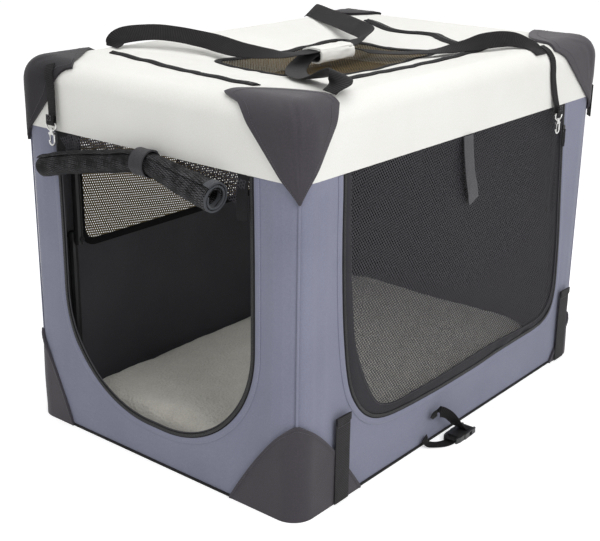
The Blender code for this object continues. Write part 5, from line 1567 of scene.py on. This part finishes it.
# Its radii at the closed end, in the tie and at the open end, and the tie's share of its length
ROLL_R, ROLL_WAIST_R, ROLL_MOUTH_R, ROLL_TIE_AT = 0.0208, 0.0185, 0.0258, 0.60
ROLL_TURNS = 3.3


def square_to(way):
    """Two directions square to a way: sideways and up."""
    side = way.cross(Vector((0, 0, 1))).normalized()
    return side, side.cross(way)


def roll_radius(share):
    """The roll's radius along it: narrowest in the tie, widest at its open end."""
    if share < ROLL_TIE_AT:
        return ROLL_R + (ROLL_WAIST_R - ROLL_R) * (share / ROLL_TIE_AT) ** 3
    return ROLL_WAIST_R + (ROLL_MOUTH_R - ROLL_WAIST_R) * (share - ROLL_TIE_AT) / (1 - ROLL_TIE_AT)


def roll_route(steps):
    """Points, radii and shares along the rolled door."""
    flat = smooth_route([(x, 0, SEAM_Z - drop) for x, drop in ROLL_DROPS], steps)
    last = len(flat) - 1
    shares = [i / last for i in range(last + 1)]
    radii = [roll_radius(s) for s in shares]
    tie_outside = ROLL_WAIST_R + 0.0006 + WEB_T
    route = [Vector((p.x, -HALF_L - 0.0006 - max(r, tie_outside) * 0.966, p.z)) for p, r in zip(flat, radii)]
    return route, radii, shares


def build_roll():
    """The rolled door with its tie, its taped edge, its zipped edges and the net that hangs loose."""
    route, radii, shares = roll_route(16)
    per_turn = 26
    count = round(ROLL_TURNS * per_turn)
    pitch = 0.0031
    outer, inner = [], []
    for point, radius, share, way in zip(route, radii, shares, headings(route)):
        side, up = square_to(way)
        ragged = ease((0.03 - min(share, 1 - share)) / 0.03)
        top_row, low_row = [], []
        for k in range(count + 1):
            turns = k / per_turn
            angle = 2 * math.pi * turns + 0.9
            slack = 0.0012 * ripple(angle * 0.5, share * 14, 1.0)
            slack += 0.0006 * ripple(angle * 1.7, share * 40, 2.0)
            reach = radius - 0.0008 - pitch * turns * (0.80 + 0.35 * ragged)
            reach = min(reach + slack * (1 - turns / ROLL_TURNS * 0.5), radius)
            shift = way * (0.0022 * ragged * ripple(angle, 5.0, 3.0))
            spoke = side * math.cos(angle) + up * math.sin(angle)
            top_row.append(point + spoke * reach + shift)
            low_row.append(point + spoke * (reach - 0.0011) + shift)
        outer.append(top_row)
        inner.append(low_row)

    def flat(i, j):
        return (j * 0.0042, shares[i] * 0.42)

    roll = shell("rolled_door", outer, inner, flat, ROLL_NET, ROLL_NET, sharp=70)
    under_roof(roll, "door_roll", level=ROLL_LEVEL, keep=KEEP_ROLL)
    build_roll_mouth(route[-1], headings(route)[-1], radii[-1])
    at = round(ROLL_TIE_AT * (len(route) - 1))
    build_roll_tie(route[at], headings(route)[at])
    build_loose_net()
    build_door_edges()


def build_roll_tie(middle, way):
    """The tie strap round the roll, lapped over itself."""
    side, up = square_to(way)
    outer, inner = [], []
    for i in range(9):
        along = 0.028 * (i / 8 - 0.5)
        ring_out, ring_in = [], []
        for k in range(48):
            angle = 2 * math.pi * k / 48
            spoke = side * math.cos(angle) + up * math.sin(angle)
            lap = 0.0012 * ease((math.sin(angle + 0.6) - 0.2) / 0.05)
            reach = roll_radius(ROLL_TIE_AT + along / 0.40) + 0.0006
            ring_out.append(middle + way * along + spoke * (reach + WEB_T * 0.8 + lap))
            ring_in.append(middle + way * along + spoke * reach)
        outer.append(ring_out)
        inner.append(ring_in)

    def flat(i, j):
        return (j * 0.0026, i * 0.0035)

    tie = shell("door_tie_band", outer, inner, flat, ROLL_BAND, closed=True, sharp=60)
    under_roof(tie, "door_roll_tie", level=ROLL_LEVEL, keep=KEEP_ROLL)


def build_roll_mouth(middle, way, radius):
    """The door's taped edge, wound in the roll's open end."""
    side, up = square_to(way)
    per_turn, turns = 30, 1.9
    outer, inner = [], []
    for i in range(5):
        along = -0.0100 + 0.0122 * i / 4
        top_row, low_row = [], []
        for k in range(round(per_turn * turns) + 1):
            angle = 2 * math.pi * k / per_turn + 0.9
            crumple = 0.0006 * abs(ripple(angle * 0.8, along * 60, 4.0))
            reach = radius + 0.0004 - 0.0052 * k / per_turn - crumple
            spoke = side * math.cos(angle) + up * math.sin(angle)
            point = middle + way * (along + 0.0012 * ripple(angle * 0.7, 2.0, 8.0))
            top_row.append(point + spoke * reach)
            low_row.append(point + spoke * (reach - 0.0030))
        outer.append(top_row)
        inner.append(low_row)

    def flat(i, j):
        return (j * 0.0045, i * 0.003)

    tape = shell("roll_edge_tape", outer, inner, flat, EDGE_TAPE, sharp=60)
    under_roof(tape, level=ROLL_LEVEL, keep=KEEP_ROLL)


def build_door_edges():
    """The door's two zipped edges, which hang from the seam beside the doorway before they join the roll."""
    for label, x, fall in (("left", -0.199, 0.042), ("right", 0.199, 0.068)):
        route = []
        for k in range(15):
            z = SEAM_Z - 0.0005 - fall * k / 14
            sway = 0.0030 * ripple(z * 40, x * 9, 4.0) * ease(k / 6)
            route.append(Vector((x + sway, -HALF_L - 0.0004 - 0.0030 * ease(k / 8), z)))
        wide = [Vector((1, 0, 0))] * len(route)
        under_roof(ribbon(f"door_edge_{label}", route, wide, 0.021, 0.0012, BINDING, 6))


def build_loose_net():
    """The net between the seam and the roll, which hangs and puckers where it is gathered."""
    def place(x, z, lift):
        pucker = ease((SEAM_Z - z) / 0.012)
        wave = 0.0034 * ripple(x * 30, z * 5, 2.0) + 0.0008 * ripple(x * 70, z * 12, 5.0)
        return Vector((x, -HALF_L + 0.0012 - pucker * (0.0030 + wave) - lift, z))

    top = 0.5395
    parts = (("left", LEFT_LOOSE_STRIP, ((-0.205, top), (-0.205, 0.486), (-0.055, 0.516), (-0.055, top))),
             ("right", RIGHT_LOOSE_STRIP, ((0.062, top), (0.062, 0.517), (0.200, 0.492), (0.205, top))))
    for label, strip, corners in parts:
        net = strip_net(f"loose_net_{label}", anticlockwise(corners), strip, 0.006, place, NET, 20.0)
        under_roof(net)
        net_sheet(net, (abs(corners[2][0] - corners[0][0]), 0.054))


# Floor and mat

def build_floor():
    """The crate's floor cloth under the mat."""
    half_x, half_y = HALF_W - 0.0035, HALF_L - 0.0035
    outer, inner = [], []
    for k in range(13):
        share = 0.03 + 0.97 * k / 12
        loop = rounded_loop(half_x * share, half_y * share, 0.031 * share, 6, 14)
        outer.append([Vector((x, y, 0.0022 - 0.0004 * abs(ripple(x * 9, y * 9, 1.0)))) for x, y in loop])
        inner.append([Vector((x, y, 0.0)) for x, y in loop])

    def flat(i, j):
        p = outer[i][j % len(outer[0])]
        return (p.x, p.y)

    sheet = shell("floor_cloth", outer, inner, flat, BLACK, BLACK, closed=True)
    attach(sheet, "base")
    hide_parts("floor_sheet")


def pillow(name, half_x, half_y, low, high, corner, edge):
    """A closed rounded pad from stacked rounded rectangles."""
    rings = []
    for turn in range(0, 181, 15):
        angle = math.radians(turn)
        inset = edge * (1 - math.sin(angle))
        z = (low + high) / 2 - (high - low) / 2 * math.cos(angle)
        loop = rounded_loop(half_x - inset, half_y - inset, corner - inset * 0.5, 6, 6)
        rings.append([(x, y, z) for x, y in loop])
    wide = len(rings[0])
    points = [p for ring in rings for p in ring]
    faces = []
    for i in range(len(rings) - 1):
        for j in range(wide):
            k = (j + 1) % wide
            faces.append((i * wide + j, i * wide + k, (i + 1) * wide + k, (i + 1) * wide + j))
    faces.append(tuple(reversed(range(wide))))
    faces.append(tuple((len(rings) - 1) * wide + j for j in range(wide)))
    return mesh_piece(name, points, faces, [FLEECE])


def puff(piece, voxel, pressure, cap):
    """Fills a pad: voxel remesh, then cloth under pressure with each point's way limited to cap."""
    remesh = piece.modifiers.new("remesh", "REMESH")
    remesh.mode = "VOXEL"
    remesh.voxel_size = voxel
    applied(piece)
    rest = [v.co.copy() for v in piece.data.vertices]
    cloth = piece.modifiers.new("cloth", "CLOTH")
    cloth.settings.quality = 4
    cloth.settings.mass = 0.3
    cloth.settings.use_pressure = True
    cloth.settings.uniform_pressure_force = pressure
    cloth.settings.effector_weights.gravity = 0
    cloth.settings.bending_stiffness = 0.6
    cloth.point_cache.frame_start, cloth.point_cache.frame_end = 1, 20
    scene = bpy.context.scene
    for number in range(1, 21):
        scene.frame_set(number)
    applied(piece)
    scene.frame_set(1)
    for vert, start in zip(piece.data.vertices, rest):
        way = vert.co - start
        if way.length > cap:
            vert.co = start + way * (cap / way.length)
    piece.data.update()


def build_mat():
    """The fleece mat: a filled pad, made finer and given lumps of pile inside its own size."""
    mat = pillow("fleece_mat", MAT_HALF_X - 0.006, MAT_HALF_Y - 0.006, MAT_LOW + 0.004,
                 MAT_TOP + MAT_PILE - 0.012, 0.048, 0.018)
    puff(mat, 0.007, 3.0, 0.009)
    smooth = mat.modifiers.new("finer", "SUBSURF")
    smooth.levels = 1
    applied(mat)
    middle = (MAT_LOW + MAT_TOP) / 2
    for vert in mat.data.vertices:
        x, y, z = vert.co
        lump = 0.0016 * ripple(x * 16, y * 16, 4.0) + 0.0011 * ripple(x * 55, y * 55, 7.0)
        if z > middle:
            z += lump
        vert.co.x = max(-MAT_HALF_X, min(MAT_HALF_X, x))
        vert.co.y = max(-MAT_HALF_Y, min(MAT_HALF_Y, y))
        vert.co.z = max(MAT_LOW, min(MAT_TOP + MAT_PILE + 0.002, z))
    mat.data.update()
    mat.data.materials.clear()
    mat.data.materials.append(FLEECE)
    mat.data.shade_smooth()
    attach(mat, "base")
    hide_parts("mat")


# Camera, light and floor

# The world's strength as light, and what the floor adds where the camera sees it
AMBIENT, FLOOR_GLOW = 0.62, 0.48
# The photograph's camera: focal length and width in pixels, place, and turns in radians
FOCAL_PIXELS, WIDE_PIXELS = 1158.61681, 600
EYE = Vector((1.2761, -1.64511, 0.97422))
YAW, PITCH, ROLL = -0.68225, -0.34593, 0.01319


def build_camera():
    """The camera that took the photograph."""
    ahead = Vector((math.cos(PITCH) * math.sin(YAW), math.cos(PITCH) * math.cos(YAW), math.sin(PITCH)))
    right = ahead.cross(Vector((0, 0, 1))).normalized()
    up = right.cross(ahead)
    rolled_right = right * math.cos(ROLL) + up * math.sin(ROLL)
    rolled_up = up * math.cos(ROLL) - right * math.sin(ROLL)
    data = bpy.data.cameras.new("camera")
    data.sensor_width = 36
    data.lens = FOCAL_PIXELS / WIDE_PIXELS * 36
    data.clip_start, data.clip_end = 0.01, 50
    camera = bpy.data.objects.new("camera", data)
    turn = Matrix((rolled_right, rolled_up, -ahead)).transposed().to_4x4()
    camera.matrix_world = Matrix.Translation(EYE) @ turn
    bpy.context.scene.collection.objects.link(camera)
    bpy.context.scene.camera = camera


def area_light(name, place, aim, size, power):
    """A white rectangular lamp that faces aim."""
    data = bpy.data.lights.new(name, "AREA")
    data.shape = "RECTANGLE"
    data.size, data.size_y = size
    data.energy = power
    light = bpy.data.objects.new(name, data)
    light.location = place
    light.rotation_mode = "QUATERNION"
    light.rotation_quaternion = (Vector(aim) - Vector(place)).to_track_quat("-Z", "Y")
    bpy.context.scene.collection.objects.link(light)


def backdrop_rays(nodes):
    """One for rays that the camera sees straight, in mirrors or through nets, else zero."""
    seen, mirrored, through = (nodes.node("LightPath", ray)
                               for ray in ("Is Camera Ray", "Is Glossy Ray", "Is Transmission Ray"))
    return seen.highest(mirrored).highest(through)


def build_studio():
    """The floor and the world, white in the picture yet dimmer as light, then the lamps."""
    finish = Finish("studio_floor")
    paint = finish.shades(finish.noise(1.2, 2.0), (0.84, 0.84, 0.84), (0.86, 0.86, 0.86))
    glow = FLOOR_GLOW * backdrop_rays(finish)
    made = finish.done({"Base Color": paint, "Roughness": 0.9, "Specular IOR Level": 0.1,
                        "Emission Color": (1, 1, 1, 1), "Emission Strength": glow})
    side, cells = 9.0, range(6)
    points = [((i / 3 - 1) * side, (j / 3 - 1) * side, 0) for i in range(7) for j in range(7)]
    faces = [(i * 7 + j, (i + 1) * 7 + j, (i + 1) * 7 + j + 1, i * 7 + j + 1) for i in cells for j in cells]
    mesh_piece("studio_floor", points, faces, [made])
    world = bpy.data.worlds.new("studio")
    world.use_nodes = True
    back = world.node_tree.nodes["Background"]
    back.inputs["Color"].default_value = (1, 1, 1, 1)
    nodes = Nodes(world.node_tree)
    nodes.wire(AMBIENT + (1 - AMBIENT) * backdrop_rays(nodes), back.inputs["Strength"])
    bpy.context.scene.world = world
    area_light("key", (2.8, -1.0, 2.3), (0.1, -0.15, 0.3), (1.6, 1.6), 44)
    area_light("over", (-0.2, 0.2, 3.0), (0, 0, 0.3), (2.2, 2.2), 25)
    area_light("front", (-0.2, -3.2, 1.2), (0, 0, 0.3), (2.0, 1.4), 6)
    bpy.context.scene.view_settings.view_transform = "Standard"


def material_for_frame():
    """New materials on the frame's own parts that stay in view."""
    finishes = {"steel_tube": STEEL, "plastic": PLASTIC, "nickel": NICKEL, "board": BOARD, "grey_cloth": GREY,
                "cream_cloth": CREAM, "black_cloth": BLACK, "black_net": NET, "webbing": WEBBING,
                "tie_tape": TIE, "fleece": FLEECE}
    for part in frame["record"]["subparts"]:
        node = frame["nodes"][part["node"]]
        finish = TEETH if part["node"].endswith("slider") else finishes[part["material_slot"]]
        for slot in node.material_slots:
            slot.material = finish


build_camera()
build_studio()
material_for_frame()
build_walls()
build_zips_on_walls()
build_side_zip_pull()
build_door_borders()
build_wall_nets()
build_roof()
build_top_patches()
build_low_patches()
build_hems()
build_handles()
build_wall_straps()
build_hook_straps()
build_buckle_straps()
build_roll()
build_floor()
build_mat()

bpy.data.objects.remove(BRICK)
